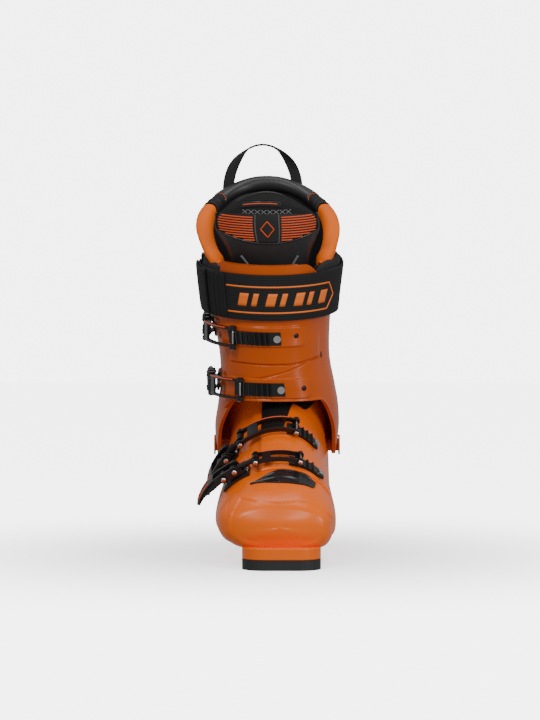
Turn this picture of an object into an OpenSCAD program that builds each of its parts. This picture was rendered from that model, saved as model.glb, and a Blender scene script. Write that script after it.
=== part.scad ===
// Overlap alpine ski boot, right foot, as an assembly of its separate pieces.
// The toe points to -Y, the lateral (outer) side to -X, and the sole stands on Z = 0.

/* [Sole] */
// Length of the sole from toe lug to heel lug
sole_length = 305; // [295:1:315]
// Width of the toe and heel lugs
lug_width = 69; // [67:1:71]
// Height of the toe lug over the ground
toe_lug_height = 19.5; // [18:0.5:20]
// Height of the heel lug over the ground
heel_lug_height = 30; // [29:0.5:31]
// Thickness of the black toe pad
toe_pad_height = 9; // [8:0.5:10]
// Thickness of the black heel pad
heel_pad_height = 11; // [10:0.5:12]

/* [Shell and cuff] */
// Wall of the lower shell
shell_wall = 4.5; // [4:0.5:5]
// Wall of the cuff
cuff_wall = 3.5; // [3:0.5:4]
// Thickness of the liner foam
liner_wall = 7; // [6:0.5:8]
// Height of the cuff hinge over the ground
pivot_z = 98; // [96:1:100]
// Distance of the cuff hinge behind the middle of the sole
pivot_y = 62; // [60:1:64]

/* [Buckles] */
// Width of a buckle lever
lever_width = 18; // [16:1:20]
// Radius of the buckle pins
pin_r = 1.6; // [1.4:0.1:1.8]
// Width of a ladder
ladder_width = 12.5; // [12:0.5:13]

/* [Power strap] */
// Width of the webbing
strap_width = 42; // [38:1:45]
// Thickness of the webbing
strap_thick = 3; // [2.5:0.5:3.5]

/* [Hidden] */

half_sole = sole_length / 2;
// The lugs' centreline stands beside the middle of the whole boot
shift_x = 9;
shift_y = 0;
// Radius about the cuff hinge where the liner parts, so that its halves turn clear
ankle_r = 100;
// Stations of the strap's lower and upper edges
strap_s0 = 4.88;
strap_s1 = 5.86;
// Face of the cuff at the hinge on the lateral and the medial side, and the hinge's shank
pivot_face = [61.5, 54.5];
pivot_r = 6;
// Ends of the cuff's sheet
cuff_from = -54;
cuff_to = 384;

// ---- Lofts -------------------------------------------------------------------------------
// A station is one ring of a loft: its top or front point T and its bottom or back point B in
// the YZ plane, the x of its middle, its lateral and medial half widths, the exponents of its
// top, lower lateral and lower medial quarters, and k, where between B and T it is widest.
//  [Ty, Tz, By, Bz, xc, wl, wm, nt, nbl, nbm, k]
SHELL = [
  [-140.0, 45, -138.5, 27, 0, 30.0, 27.0, 2.3, 2.3, 2.3, 0.50],
  [-138.0, 53, -136.5, 21, 0, 41.0, 37.0, 2.3, 2.3, 2.6, 0.50],
  [-132.0, 60, -130.0, 18, -1, 48.0, 43.0, 2.2, 2.3, 2.9, 0.49],
  [-120.0, 68, -115.0, 17, -1, 54.5, 47.0, 2.1, 2.3, 3.2, 0.45],
  [-103.0, 77, -91.0, 17, 0, 58.0, 48.5, 2.0, 2.4, 3.4, 0.38],
  [-82.0, 88, -58.0, 17, 0, 59.0, 49.0, 2.0, 2.4, 3.4, 0.33],
  [-60.0, 101, -17.0, 17, 0, 58.0, 48.0, 2.0, 2.4, 3.4, 0.30],
  [-38.0, 118, 32.0, 17, 0, 55.0, 46.5, 2.0, 2.5, 3.2, 0.29],
  [-15.0, 132.5, 78.0, 18, 0, 53.0, 46.0, 2.0, 2.6, 3.0, 0.33],
  [3.0, 148.5, 112.0, 21, 0, 52.0, 46.0, 2.0, 2.6, 2.8, 0.38],
  [13.0, 162, 135.0, 31, 0, 50.5, 45.5, 2.0, 2.5, 2.6, 0.42],
  [18.5, 171.5, 146.0, 50, -1, 49.5, 45.5, 2.0, 2.4, 2.4, 0.45],
  [21.5, 179, 146.5, 70, -1, 49.0, 45.5, 2.0, 2.3, 2.3, 0.47],
  [24.0, 185, 142.0, 92, -2, 47.5, 45.5, 2.0, 2.2, 2.2, 0.48],
  [27.0, 190, 136.5, 114, -3, 46.0, 45.0, 2.0, 2.2, 2.2, 0.50]
];
CUFF = [
  [-8.0, 86, 152.0, 92, -4.0, 55.5, 55.5, 2.0, 2.9, 2.9, 0.60],
  [-12.0, 113, 151.5, 120, -3.5, 58.5, 58.5, 2.0, 2.8, 2.8, 0.60],
  [-19.5, 134, 148.0, 146, -2.5, 56.5, 56.5, 2.1, 2.6, 2.6, 0.62],
  [-21.5, 153, 144.0, 168, -3.0, 53.5, 53.5, 2.1, 2.5, 2.5, 0.64],
  [-24.5, 180, 137.0, 202, -6.0, 51.5, 51.5, 2.0, 2.4, 2.4, 0.65],
  [-32.0, 222, 127.0, 250, -9.0, 56.0, 56.0, 2.0, 2.3, 2.3, 0.62],
  [-40.0, 264, 117.0, 296, -9.0, 61.0, 61.0, 2.0, 2.3, 2.3, 0.60],
  [-47.0, 300, 108.0, 336, -10.0, 65.0, 65.0, 2.0, 2.3, 2.3, 0.58]
];
LINER = [
  [-4.0, 146, 134.0, 158, -3.5, 44.5, 44.5, 2.0, 2.3, 2.3, 0.64],
  [-11.0, 176, 129.0, 198, -6.0, 45.5, 45.5, 2.0, 2.3, 2.3, 0.64],
  [-19.0, 208, 121.0, 236, -8.5, 48.5, 48.5, 2.0, 2.3, 2.3, 0.62],
  [-28.0, 244, 112.0, 276, -9.0, 52.5, 52.5, 2.0, 2.3, 2.3, 0.60],
  [-35.0, 274, 105.5, 306, -10.5, 58.5, 58.0, 2.0, 2.3, 2.3, 0.58],
  [-41.0, 298, 100.0, 330, -12.5, 66.0, 65.5, 2.0, 2.3, 2.3, 0.56],
  [-46.0, 320, 97.0, 353, -13.0, 60.0, 59.0, 2.0, 2.4, 2.4, 0.54],
  [-50.0, 342, 94.0, 376, -13.0, 50.0, 49.0, 2.0, 2.4, 2.4, 0.52]
];

// Value of a table of stations between its rows
function smooth4(a, b, c, d, t) =
  0.5 * (2 * b + (c - a) * t + (2 * a - 5 * b + 4 * c - d) * t * t
  + (3 * b - a - 3 * c + d) * t * t * t);
function station(st, s) =
  let (n = len(st) - 1, i = max(0, min(floor(s), n - 1)))
  smooth4(st[max(i - 1, 0)], st[i], st[i + 1], st[min(i + 2, n)], s - i);

// A point of ring q in the ring's own plane: th runs from T (0) over the medial side (90) to
// B (180) and back over the lateral side, and d is the distance outside the surface
function flat(q, th, d) =
  let (
    long = norm([q[0] - q[2], q[1] - q[3]]),
    up = cos(th) >= 0,
    half = (up ? (1 - q[10]) * long : q[10] * long) + d,
    ex = up ? q[7] : (sin(th) < 0 ? q[8] : q[9]),
    side = sin(th) < 0 ? -(q[5] + d) : q[6] + d
  )
  [q[4] + side * pow(abs(sin(th)), 2 / ex), (up ? half : -half) * pow(abs(cos(th)), 2 / ex)];
// The ring's direction from B to T, and the middle its plane coordinates start from
function ring_up(q) = [q[0] - q[2], q[1] - q[3]] / norm([q[0] - q[2], q[1] - q[3]]);
function ring_mid(q) = [q[2], q[3]] + q[10] * [q[0] - q[2], q[1] - q[3]];
function on_ring(q, th, d) =
  let (p = flat(q, th, d), yz = ring_mid(q) + ring_up(q) * p[1])
  [p[0], yz[0], yz[1]];
function at(st, s, th, d) = on_ring(station(st, s), th, d);

// The angle a length further round a ring
function speed(q, th, d) = norm(flat(q, th + 0.5, d) - flat(q, th - 0.5, d));
function walk(q, th, d, length, n = 8) =
  n == 0 ? th : walk(q, th + length / n / speed(q, th, d), d, length - length / n, n - 1);
// Stations per millimetre along a loft
function pace(st, s, th) = 0.2 / norm(at(st, s + 0.1, th, 0) - at(st, s - 0.1, th, 0));
function lerp(a, b, t) = a + (b - a) * t;
function ease(a, b, v) = let (t = max(0, min(1, (v - a) / (b - a)))) t * t * (3 - 2 * t);
function turn(v, a) = [v[0] * cos(a) - v[1] * sin(a), v[0] * sin(a) + v[1] * cos(a)];

// ---- Solids from grids ---------------------------------------------------------------------
// A wall between an outer and an inner grid of points, open at its four edges or closed round
module wall(out, inn, closed = false) {
  nu = len(out);
  nv = len(out[0]);
  m = nu * nv;
  nc = closed ? nu : nu - 1;
  quads = concat(
    [for (i = [0:nc - 1], j = [0:nv - 2])
      let (a = i * nv + j, b = ((i + 1) % nu) * nv + j) [a, b, b + 1, a + 1]],
    [for (i = [0:nc - 1], j = [0:nv - 2])
      let (a = m + i * nv + j, b = m + ((i + 1) % nu) * nv + j) [a, a + 1, b + 1, b]],
    [for (i = [0:nc - 1])
      let (a = i * nv, b = ((i + 1) % nu) * nv) [a, m + a, m + b, b]],
    [for (i = [0:nc - 1])
      let (a = i * nv + nv - 1, b = ((i + 1) % nu) * nv + nv - 1) [a, b, m + b, m + a]],
    closed ? [] : [for (j = [0:nv - 2]) [j, j + 1, m + j + 1, m + j]],
    closed ? [] : [for (j = [0:nv - 2])
      let (a = (nu - 1) * nv + j) [a, m + a, m + a + 1, a + 1]]
  );
  polyhedron(
    points = concat([for (r = out) each r], [for (r = inn) each r]),
    faces = [for (q = quads) each [[q[0], q[2], q[1]], [q[0], q[3], q[2]]]]
  );
}

// A solid loft from station s0 to s1
module loft(st, s0, s1, d, ns, nu = 40) {
  points = [for (i = [0:ns], j = [0:nu - 1])
    at(st, s0 + (s1 - s0) * i / ns, 360 * j / nu, d)];
  sides = [for (i = [0:ns - 1], j = [0:nu - 1])
    let (a = i * nu + j, b = i * nu + (j + 1) % nu) each [[a, b + nu, b], [a, a + nu, b + nu]]];
  polyhedron(
    points = points,
    faces = concat(sides, [[for (j = [0:nu - 1]) j]], [[for (j = [nu - 1:-1:0]) ns * nu + j]])
  );
}

// A strip over a loft between two stations: his are its outer distances at the angles ths
module strip(st, s0, s1, ths, lo, his, ns = 2) {
  wall(
    [for (i = [0:len(ths) - 1])
      [for (j = [0:ns]) at(st, s0 + (s1 - s0) * j / ns, ths[i], his[i])]],
    [for (i = [0:len(ths) - 1])
      [for (j = [0:ns]) at(st, s0 + (s1 - s0) * j / ns, ths[i], lo)]]
  );
}

module placed() {
  translate([shift_x, shift_y, 0]) children();
}

// Sends a facet-built shape through as one mesh
module mesh() {
  resize([0, 0, 0]) children();
}

// ---- Sole ----------------------------------------------------------------------------------
// Plan of the sole between two distances from the middle, with rounded toe or heel corners
module sole_plan(y0, y1, r0, r1, w = lug_width) {
  hull() {
    for (sx = [-1, 1]) {
      translate([sx * (w / 2 - r0), y0 + r0]) circle(r0);
      translate([sx * (w / 2 - r1), y1 - r1]) circle(r1);
    }
  }
}

module tread(count, y0, step) {
  for (i = [0:count - 1]) {
    translate([-lug_width / 2 - 1, y0 + i * step, -1]) cube([lug_width + 2, 4, 3]);
  }
}

module toe_sole() {
  color("#141414") placed() difference() {
    linear_extrude(toe_pad_height) sole_plan(-half_sole, -58, 20, 4);
    tread(3, -half_sole + 46, 13);
  }
}

module heel_sole() {
  color("#141414") placed() difference() {
    linear_extrude(heel_pad_height) sole_plan(62, half_sole, 4, 30);
    tread(2, 74, 14);
  }
}

module sole_screw(x, y, top) {
  translate([x, y, 1]) {
    cylinder(h = 3, r = 4.5);
    cylinder(h = top, r = 2.2);
  }
}

module toe_sole_screws() {
  color("#9a9a9a") placed() for (sx = [-1, 1], y = [-100.5, -66]) {
    sole_screw(sx * 22, y, toe_pad_height + 6);
  }
}

module heel_sole_screws() {
  color("#9a9a9a") placed() for (sx = [-1, 1], y = [82, 122]) {
    sole_screw(sx * 20, y, heel_pad_height + 8);
  }
}

// ---- Lower shell ---------------------------------------------------------------------------
module lower_shell() {
  top = len(SHELL) - 1;
  color("#f2701a") placed() mesh() difference() {
    union() {
      loft(SHELL, 0, top - 0.25, 0, 44);
      translate([0, 0, toe_pad_height]) linear_extrude(toe_lug_height - toe_pad_height)
        sole_plan(-half_sole, -60, 20, 4, $fn = 48);
      translate([0, 0, toe_pad_height + 2]) linear_extrude(16)
        sole_plan(-118, 118, 12, 12, lug_width - 9, $fn = 24);
      translate([0, 0, heel_pad_height]) linear_extrude(heel_lug_height - heel_pad_height)
        sole_plan(64, half_sole, 4, 30, $fn = 48);
    }
    loft(SHELL, 2.4, top, -shell_wall, 30);
    translate([-80, pivot_y, pivot_z]) rotate([0, 90, 0])
      cylinder(h = 160, r = pivot_r + 0.4, $fn = 48);
  }
}

// Slab that follows the ramp of the boot board: lower face h0 and upper face h1 over its foot
module ramp(h0, h1) {
  translate([0, 0, 23]) rotate([3, 0, 0]) translate([-80, -170, h0]) cube([160, 340, h1 - h0]);
}

module boot_board() {
  color("#2a2a2a") placed() mesh() intersection() {
    loft(SHELL, 2.8, 12, -shell_wall - 0.8, 20, 32);
    ramp(0, 6);
  }
}

module insole() {
  color("#3a3a3a") placed() mesh() intersection() {
    loft(SHELL, 3.6, 12, -shell_wall - liner_wall - 2.4, 18, 32);
    ramp(10.6, 13.4);
  }
}

module liner_foot() {
  color("#1d1d1d") placed() mesh() intersection() {
    difference() {
      intersection() {
        loft(SHELL, 2.8, len(SHELL) - 1, -shell_wall - 1, 24, 32);
        ramp(6.3, 240);
      }
      intersection() {
        loft(SHELL, 3.2, len(SHELL) - 1, -shell_wall - 1 - liner_wall, 22, 32);
        ramp(10.3, 300);
      }
    }
    translate([-80, pivot_y, pivot_z]) rotate([0, 90, 0]) {
      cylinder(h = 160, r = ankle_r, $fn = 72);
      translate([pivot_z - 110, -280, 0]) cube([120, 280, 160]);
    }
  }
}

// ---- Lower shell: flap, seal and inset -----------------------------------------------------
function steps(a, b, n) = [for (i = [0:n]) a + (b - a) * i / n];

module overlap_flap() {
  ths = concat([-19, -17], steps(-13.5, 58.5, 16), [63]);
  color("#f2701a") placed()
    strip(SHELL, 4.66, 11.5, ths, 0.35, [for (t = ths) 3.1 - 2.3 * ease(20, 63, t)
      - (t < -18 ? 1.2 : 0)], 16);
}

// The seal lies on the flap, from beneath the instep buckle up under the cuff
function seal_low(t) = 6.8 + 1.6 * ease(0, 14, t) + 2.05 * ease(24, 54, t);
function seal_out(t) = 4.1 - 2.3 * ease(20, 63, t);
module throat_seal() {
  ths = steps(-18, 54, 14);
  color("#101010") placed()
    wall(
      [for (t = ths) [for (j = [0:9]) at(SHELL, lerp(seal_low(t), 11.3, j / 9), t, seal_out(t))]],
      [for (t = ths) [for (j = [0:9])
        at(SHELL, lerp(seal_low(t), 11.3, j / 9), t, seal_out(t) - 0.7)]]
    );
}

module toe_inset() {
  ths = steps(-28, 38, 14);
  color("#181818") placed()
    wall(
      [for (t = ths) [for (j = [0:3])
        at(SHELL, inset_low(t) + (inset_high(t) - inset_low(t)) * j / 3, t, 1.1)]],
      [for (t = ths) [for (j = [0:3])
        at(SHELL, inset_low(t) + (inset_high(t) - inset_low(t)) * j / 3, t, 0.3)]]
    );
}
function inset_low(t) = 3.62 + 0.23 * ease(0, 28, -t) + 0.13 * ease(10, 33, t)
  + 0.3 * ease(34, 39, t);
function inset_high(t) = 4.58 - 0.68 * ease(0, 28, -t) - 0.3 * ease(25, 39, t);

// ---- Cuff ----------------------------------------------------------------------------------
// The cuff is one sheet: its medial end lies outermost over the front, and its lateral end
// runs on beneath it. th goes from the outer end at cuff_from to the inner end at cuff_to.
function cuff_out(th) = 4 * (1 - ease(24, 60, th));
function front(th) = let (w = (th + 180) % 360 - 180) abs(w);
function cuff_low(th) = 0.1 + 2.35 * (1 - ease(40, 88, front(th))) + 0.25 * ease(150, 180, front(th));
function cuff_high(th) = 6.05 - 0.25 * ease(38, 56, front(th + 9)) + 0.5 * ease(120, 170, front(th));
function cuff_top(th) = cuff_high(th) - 0.5 * (1 - ease(-54, -42, th));

module cuff() {
  ths = steps(cuff_from, cuff_to, 73);
  color("#c8541a") placed()
    wall(
      [for (t = ths) [for (j = [0:14])
        at(CUFF, lerp(cuff_low(t), cuff_top(t), j / 14), t, cuff_out(t))]],
      [for (t = ths) [for (j = [0:14])
        at(CUFF, lerp(cuff_low(t), cuff_top(t), j / 14), t, cuff_out(t) - cuff_wall)]]
    );
}

module pivot(side, face, depth) {
  translate([side * face, pivot_y, pivot_z]) rotate([0, side * 90, 0]) difference() {
    union() {
      cylinder(h = 1.6, r = 9.5);
      translate([0, 0, -depth]) cylinder(h = depth + 0.5, r = pivot_r);
    }
    translate([0, 0, 0.7]) cylinder(h = 2, r = 3, $fn = 6);
  }
}

module cuff_pivots() {
  color("#101010") placed() {
    pivot(-1, pivot_face[0], pivot_face[0] - 48.3);
    pivot(1, pivot_face[1], pivot_face[1] - 42.8);
  }
}

module rear_spoiler() {
  ths = steps(144, 216, 12);
  color("#151515") placed()
    wall(
      [for (t = ths) [for (j = [0:8]) at(CUFF, lerp(3.4 + 0.5 * ease(20, 36, abs(t - 180)),
        7 - 0.5 * ease(16, 36, abs(t - 180)), j / 8), t, 3.8)]],
      [for (t = ths) [for (j = [0:8]) at(CUFF, lerp(3.4 + 0.5 * ease(20, 36, abs(t - 180)),
        7 - 0.5 * ease(16, 36, abs(t - 180)), j / 8), t, 0.5)]]
    );
}

module spine_bolts() {
  color("#8c8c8c") placed() for (s = [4.1, 5.2]) {
    q = station(CUFF, s);
    on_plane(q) translate([q[4], -q[10] * norm([q[0] - q[2], q[1] - q[3]]), 0]) rotate([90, 0, 0]) {
      translate([0, 0, -5]) cylinder(h = 10, r = 3);
      translate([0, 0, 4.2]) cylinder(h = 2.4, r = 6.5);
    }
  }
}

// ---- Liner ---------------------------------------------------------------------------------
function collar_top(th) = 6.05 - 1.0 * (1 - ease(92, 180, front(th)))
  - 1.3 * (1 - ease(46, 106, front(th)));
function liner_top(th) = collar_top(th) - 0.5 * (1 - ease(118, 134, front(th)));

module liner_upper() {
  ths = steps(58, 302, 40);
  color("#1b1b1b") placed() mesh() difference() {
    wall(
      [for (t = ths) [for (j = [0:14]) at(LINER, lerp(0, liner_top(t), j / 14), t, 0)]],
      [for (t = ths) [for (j = [0:14])
        at(LINER, lerp(0, liner_top(t), j / 14), t, -liner_wall - 3 * ease(9, 13, j))]]
    );
    translate([-100, pivot_y, pivot_z]) rotate([0, 90, 0])
      cylinder(h = 200, r = ankle_r + 1.5, $fn = 96);
  }
}

module collar_pad(a, b) {
  ths = steps(a, b, 12);
  wall(
    [for (t = ths) [for (j = [0:5])
      at(LINER, lerp(liner_top(t) + 0.03, collar_top(t) + 0.02, j / 5), t, 0.6 * sin(180 * j / 5))]],
    [for (t = ths) [for (j = [0:5])
      at(LINER, lerp(liner_top(t) + 0.03, collar_top(t) + 0.02, j / 5), t,
        -12 - 1.5 * sin(180 * j / 5))]]
  );
}

module collar_pads() {
  color("#ff8a1e") placed() {
    collar_pad(58, 118);
    collar_pad(242, 302);
  }
}

function tongue_out(s) = -8.5 + 9.5 * ease(3.4, 5.6, s);
module liner_tongue() {
  ths = steps(-50, 50, 16);
  color("#262626") placed() mesh() difference() {
    wall(
      [for (t = ths) [for (j = [0:16]) let (s = lerp(0, tongue_top(t), j / 16))
        at(LINER, s, t, tongue_out(s))]],
      [for (t = ths) [for (j = [0:16]) let (s = lerp(0, tongue_top(t), j / 16))
        at(LINER, s, t, tongue_out(s) - 7)]]
    );
    translate([-100, pivot_y, pivot_z]) rotate([0, 90, 0])
      cylinder(h = 200, r = ankle_r + 1.5, $fn = 96);
  }
}
function tongue_top(th) = 6.5 - 1.3 * pow(th / 50, 2);

// A webbing band along a path of middles, each with half its width as a vector
module band(mids, halves, thick) {
  n = len(mids) - 1;
  along = [for (i = [0:n]) mids[min(i + 1, n)] - mids[max(i - 1, 0)]];
  ups = [for (i = [0:n]) let (c = cross(along[i], halves[i])) c / norm(c) * thick / 2];
  wall([for (i = [0:n]) [mids[i] - halves[i] + ups[i], mids[i] + halves[i] + ups[i]]],
    [for (i = [0:n]) [mids[i] - halves[i] - ups[i], mids[i] + halves[i] - ups[i]]]);
}

// The loop's legs lie flat on the back of the liner and it twists edge-on over its top
module pull_loop() {
  n = 28;
  mids = [for (i = [0:n]) let (a = 180 - 180 * i / n)
    [-17 + 33 * cos(a), 94.8 + 4 * ease(0.2, 0.8, i / n) + 4 * sin(a), 340 + 44 * sin(a)]];
  turns = [for (i = [0:n]) 90 * ease(0.1, 0.42, i / n) - 90 * ease(0.58, 0.9, i / n)];
  color("#121212") placed() band(
    concat([[-50, 95.4, 326]], mids, [[16, 99.4, 326]]),
    concat([[5.5, 0, 0]], [for (i = [0:n]) 5.5 * [cos(turns[i]), -sin(turns[i]), 0]],
      [[5.5, 0, 0]]),
    1.8
  );
}

// ---- Power strap ---------------------------------------------------------------------------
module strap_layer(ths, lo, hi, inset = 0) {
  s0 = strap_s0 + inset;
  s1 = strap_s1 - inset;
  wall(
    [for (t = ths) [for (j = [0:3]) at(CUFF, lerp(s0, s1, j / 3), t, hi)]],
    [for (t = ths) [for (j = [0:3]) at(CUFF, lerp(s0, s1, j / 3), t, lo)]]
  );
}

module power_strap() {
  color("#161616") placed() mesh() {
    strap_layer(steps(-96, 146, 40), 4.6, 4.6 + strap_thick);
    strap_layer(steps(-95.5, -62, 6), 4.3 + strap_thick, 4.6 + 2 * strap_thick, 0.02);
  }
}

module strap_anchor() {
  color("#161616") placed() strap_layer(steps(-138, -104, 6), 0.5, 0.5 + strap_thick);
}

// Rectangular ring that the strap turns back through
module strap_ring() {
  q = station(CUFF, 5.37);
  p = flat(q, -99.5, 5);
  color("#0e0e0e") placed() on_plane(q) translate([p[0] - 1.5, p[1], 0]) rotate([0, 90, 3])
    difference() {
      translate([-26, -6.5, -1.6]) cube([52, 13, 3.2]);
      translate([-23, -3.2, -2]) cube([46, 6.4, 4]);
    }
}

module strap_screws() {
  color("#8c8c8c") placed() {
    stud(CUFF, 5.37, -132, 0, 0.2 - cuff_wall, 3.4, 4.6, 2.2, 5);
    stud(CUFF, 5.37, 136, 0, 0.2 - cuff_wall, 7.5, 8.8, 2.2, 5);
  }
}

// ---- Buckles -------------------------------------------------------------------------------
// Puts children into the plane of ring q: x across, y from B to T, z along the buckle's pins
module on_plane(q) {
  e = ring_up(q);
  m = ring_mid(q);
  multmatrix([[1, 0, 0, 0], [0, e[0], -e[1], m[0]], [0, e[1], e[0], m[1]], [0, 0, 0, 1]]) children();
}

// A shank through the surface with a round head on it, both given by their distances
module stud(st, s, th, z, from, under, to, r, head) {
  q = station(st, s);
  p = flat(q, th, 0);
  v = flat(q, th + 1, 0) - flat(q, th - 1, 0);
  on_plane(q) translate([p[0], p[1], z]) rotate([0, 0, atan2(v[1], v[0]) + 90])
    rotate([0, 90, 0]) {
      translate([0, 0, from]) cylinder(h = under - from + 0.3, r = r);
      translate([0, 0, under]) difference() {
        cylinder(h = to - under, r = head);
        translate([0, 0, (to - under) / 2]) cylinder(h = 3, r = head / 2, $fn = 6);
      }
    }
}

//  [stations, s, angle of pin A, height of A and C, height of D, lever curve radius, ladder
//   start and end from D, length from A to C, length from C to D, face under the ladder]
TOE = [SHELL, 5.0, -38, 9, 8.6, 46, -9, 25, 21, 41, 3.5];
INSTEP = [SHELL, 6.85, -51, 9, 8.6, 60, -8, 26, 22, 58, 3.5];
SHIN = [CUFF, 3.0, -92, 9, 9.2, 260, -8, 40, 21, 56, 4.4];
CALF = [CUFF, 4.5, -96, 9, 9.2, 260, -7, 44, 21, 60, 4.4];

function ring_of(k) = station(k[0], k[1]);
function pin_a(k) = flat(ring_of(k), k[2], k[3]);
function go(k) = let (v = flat(ring_of(k), k[2] + 1, k[3]) - flat(ring_of(k), k[2] - 1, k[3]))
  v / norm(v);
function out(k) = [-go(k)[1], go(k)[0]];
function pin_b(k) = pin_a(k) - 12 * go(k) - 0.5 * out(k);
function th_c(k) = walk(ring_of(k), k[2], k[3], k[8]);
function th_d(k) = walk(ring_of(k), k[2], k[3], k[8] + k[9]);
function pin_c(k) = flat(ring_of(k), th_c(k), k[3]);
function pin_d(k) = flat(ring_of(k), th_d(k), k[4]);
function heading(v) = atan2(v[1], v[0]);

module slab(z0, z1) {
  translate([0, 0, z0]) linear_extrude(z1 - z0) children();
}
module both(z0, z1) {
  slab(z0, z1) children();
  slab(-z1, -z0) children();
}
module pin(p, z0, z1) {
  translate([p[0], p[1], z0]) cylinder(h = z1 - z0, r = pin_r);
}
module head(p, z) {
  translate([p[0], p[1], z]) cylinder(h = 1.5, r = 3.3, $fn = 6);
}

// Base: a plate that follows the wall, with two ears for pin A between the lever's cheeks
module base(k) {
  q = ring_of(k);
  w = 9.5 * pace(k[0], k[1], k[2]);
  ths = [for (l = [-20, -14, -8, -2, 4, 10]) walk(q, k[2], 2, l)];
  color("#131313") placed() {
    strip(k[0], k[1] - w, k[1] + w, ths, 0.6, [2.0, 2.8, 2.8, 2.8, 2.8, 2.0], 2);
    on_plane(q) both(4.2, 6) difference() {
      hull() {
        translate(pin_a(k)) circle(4.6);
        translate(pin_a(k) - 7 * go(k) - (k[3] - 2.6) * out(k)) circle(0.6);
        translate(pin_a(k) + 7 * go(k) - (k[3] - 2.6) * out(k)) circle(0.6);
      }
      translate(pin_a(k)) circle(pin_r + 0.05);
    }
  }
}

// Side outline of the lever: along from pin A towards its tip, up from the pins' line
function lever_line(k, l, up) =
  let (a = l / k[5] * 57.2958 * (l > 12 ? 1 : 0) * (l - 12) / l)
  pin_a(k) - go(k) * (l > 12 ? 12 + (k[5] + up) * sin(a) : l)
  + out(k) * (l > 12 ? (k[5] + up) * cos(a) - k[5] : up);
module lever_side(k, from, low, high) {
  ls = from < 12 ? [12, 18, 24, 30, 36, 42] : [from, 26, 31, 36, 42];
  polygon(concat([for (l = ls) lever_line(k, l, high)],
    [for (i = [len(ls) - 1:-1:0]) lever_line(k, ls[i], low)]));
}

module lever(k) {
  color("#0f0f0f") placed() on_plane(ring_of(k)) {
    both(6.4, 9) difference() {
      union() {
        hull() {
          translate(pin_a(k)) circle(4.4);
          translate(pin_b(k)) circle(4.2);
        }
        lever_side(k, 11, -2.6, 4.4);
      }
      translate(pin_a(k)) circle(pin_r + 0.01);
      translate(pin_b(k)) circle(pin_r + 0.01);
    }
    slab(-6.5, 6.5) lever_side(k, 22, 1.6, 4.4);
    slab(-9, 9) hull() {
      translate(lever_line(k, 42, 2.4)) circle(2);
      translate(lever_line(k, 46, 4)) circle(1.2);
    }
  }
}

module lever_pins(k) {
  color("#2b2b2b") placed() on_plane(ring_of(k)) {
    pin(pin_a(k), 4, 9.6);
    pin(pin_a(k), -9.6, -4);
    head(pin_a(k), 9.2);
    head(pin_a(k), -10.7);
    pin(pin_b(k), -9.6, 9.6);
    head(pin_b(k), 9.2);
    head(pin_b(k), -10.7);
  }
}

module barrel(k) {
  v = pin_c(k) - pin_b(k);
  gap = pin_r + 0.05;
  color("#1c1c1c") placed() on_plane(ring_of(k)) difference() {
    union() {
      translate(pin_b(k)) translate([0, 0, -3.4]) cylinder(h = 6.8, r = 3.4);
      translate(pin_c(k)) translate([0, 0, -3.4]) cylinder(h = 6.8, r = 3.4);
      translate(pin_b(k)) rotate([0, 90, heading(v)]) {
        translate([0, 0, 2]) cylinder(h = norm(v) - 4, r = 2.4);
        for (i = [0:6]) {
          translate([0, 0, 9 + i * 2.2]) cylinder(h = 1.2, r = 3.2);
        }
      }
    }
    translate(pin_b(k)) translate([0, 0, -5]) cylinder(h = 10, r = gap);
    translate(pin_c(k)) translate([0, 0, -5]) cylinder(h = 10, r = gap);
  }
}

// Two arms bent to the wall between pins C and D, and a bridge that joins them
module bail(k) {
  q = ring_of(k);
  t0 = th_c(k);
  t1 = th_d(k);
  n = 8;
  color("#111111") placed() on_plane(q) {
    both(7, 9.2) difference() {
      union() {
        polygon(concat(
          [for (i = [0:n]) flat(q, lerp(t0, t1, i / n), lerp(k[3], k[4], i / n) + 2)],
          [for (i = [n:-1:0]) flat(q, lerp(t0, t1, i / n), lerp(k[3], k[4], i / n) - 2)]
        ));
        translate(pin_c(k)) circle(3.4);
        translate(pin_d(k)) circle(3.2);
      }
      translate(pin_c(k)) circle(pin_r + 0.01);
      translate(pin_d(k)) circle(pin_r + 0.01);
    }
    slab(-7.05, 7.05) polygon(concat(
      [for (i = [1.2, 1.9, 2.6]) flat(q, lerp(t0, t1, i / n), k[3] + 2)],
      [for (i = [2.6, 1.9, 1.2]) flat(q, lerp(t0, t1, i / n), k[3] + 0.2)]
    ));
  }
}

module bail_pins(k) {
  color("#b9b9b9") placed() on_plane(ring_of(k)) for (p = [pin_c(k), pin_d(k)]) {
    pin(p, -9.8, 9.8);
    head(p, 9.4);
    head(p, -10.9);
  }
}

// Ladder: a strip on the wall with ridges 5 mm apart, and a valley at pin D
module ladder(k) {
  q = ring_of(k);
  w = ladder_width / 2 * pace(k[0], k[1], th_d(k));
  face = k[10];
  n = floor((k[7] - 6) / 5);
  marks = concat(
    [[k[6], 2]],
    [for (i = [-1:n - 1]) each [[i * 5 + 1, 2], [i * 5 + 2.5, 4.2], [i * 5 + 4, 2]]],
    [[k[7], 2]]
  );
  ths = [for (m = marks) walk(q, th_d(k), face, m[0])];
  color("#141414") placed()
    strip(k[0], k[1] - w, k[1] + w, ths, face, [for (m = marks) face + m[1]], 2);
}

module rivets(k) {
  q = ring_of(k);
  color("#a8a8a8") placed() {
    stud(k[0], k[1], walk(q, k[2], 2, -16), 0, 0.2 - cuff_wall, 2.6, 3.6, 1.8, 3.2);
    stud(k[0], k[1], walk(q, k[2], 2, 7.5), 0, 0.2 - cuff_wall, 2.6, 3.6, 1.8, 2.6);
    stud(k[0], k[1], walk(q, th_d(k), k[10], k[7] - 3.5), 0, 0.9, k[10] + 1.8, k[10] + 3.2,
      1.8, 3.4);
  }
}

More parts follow.
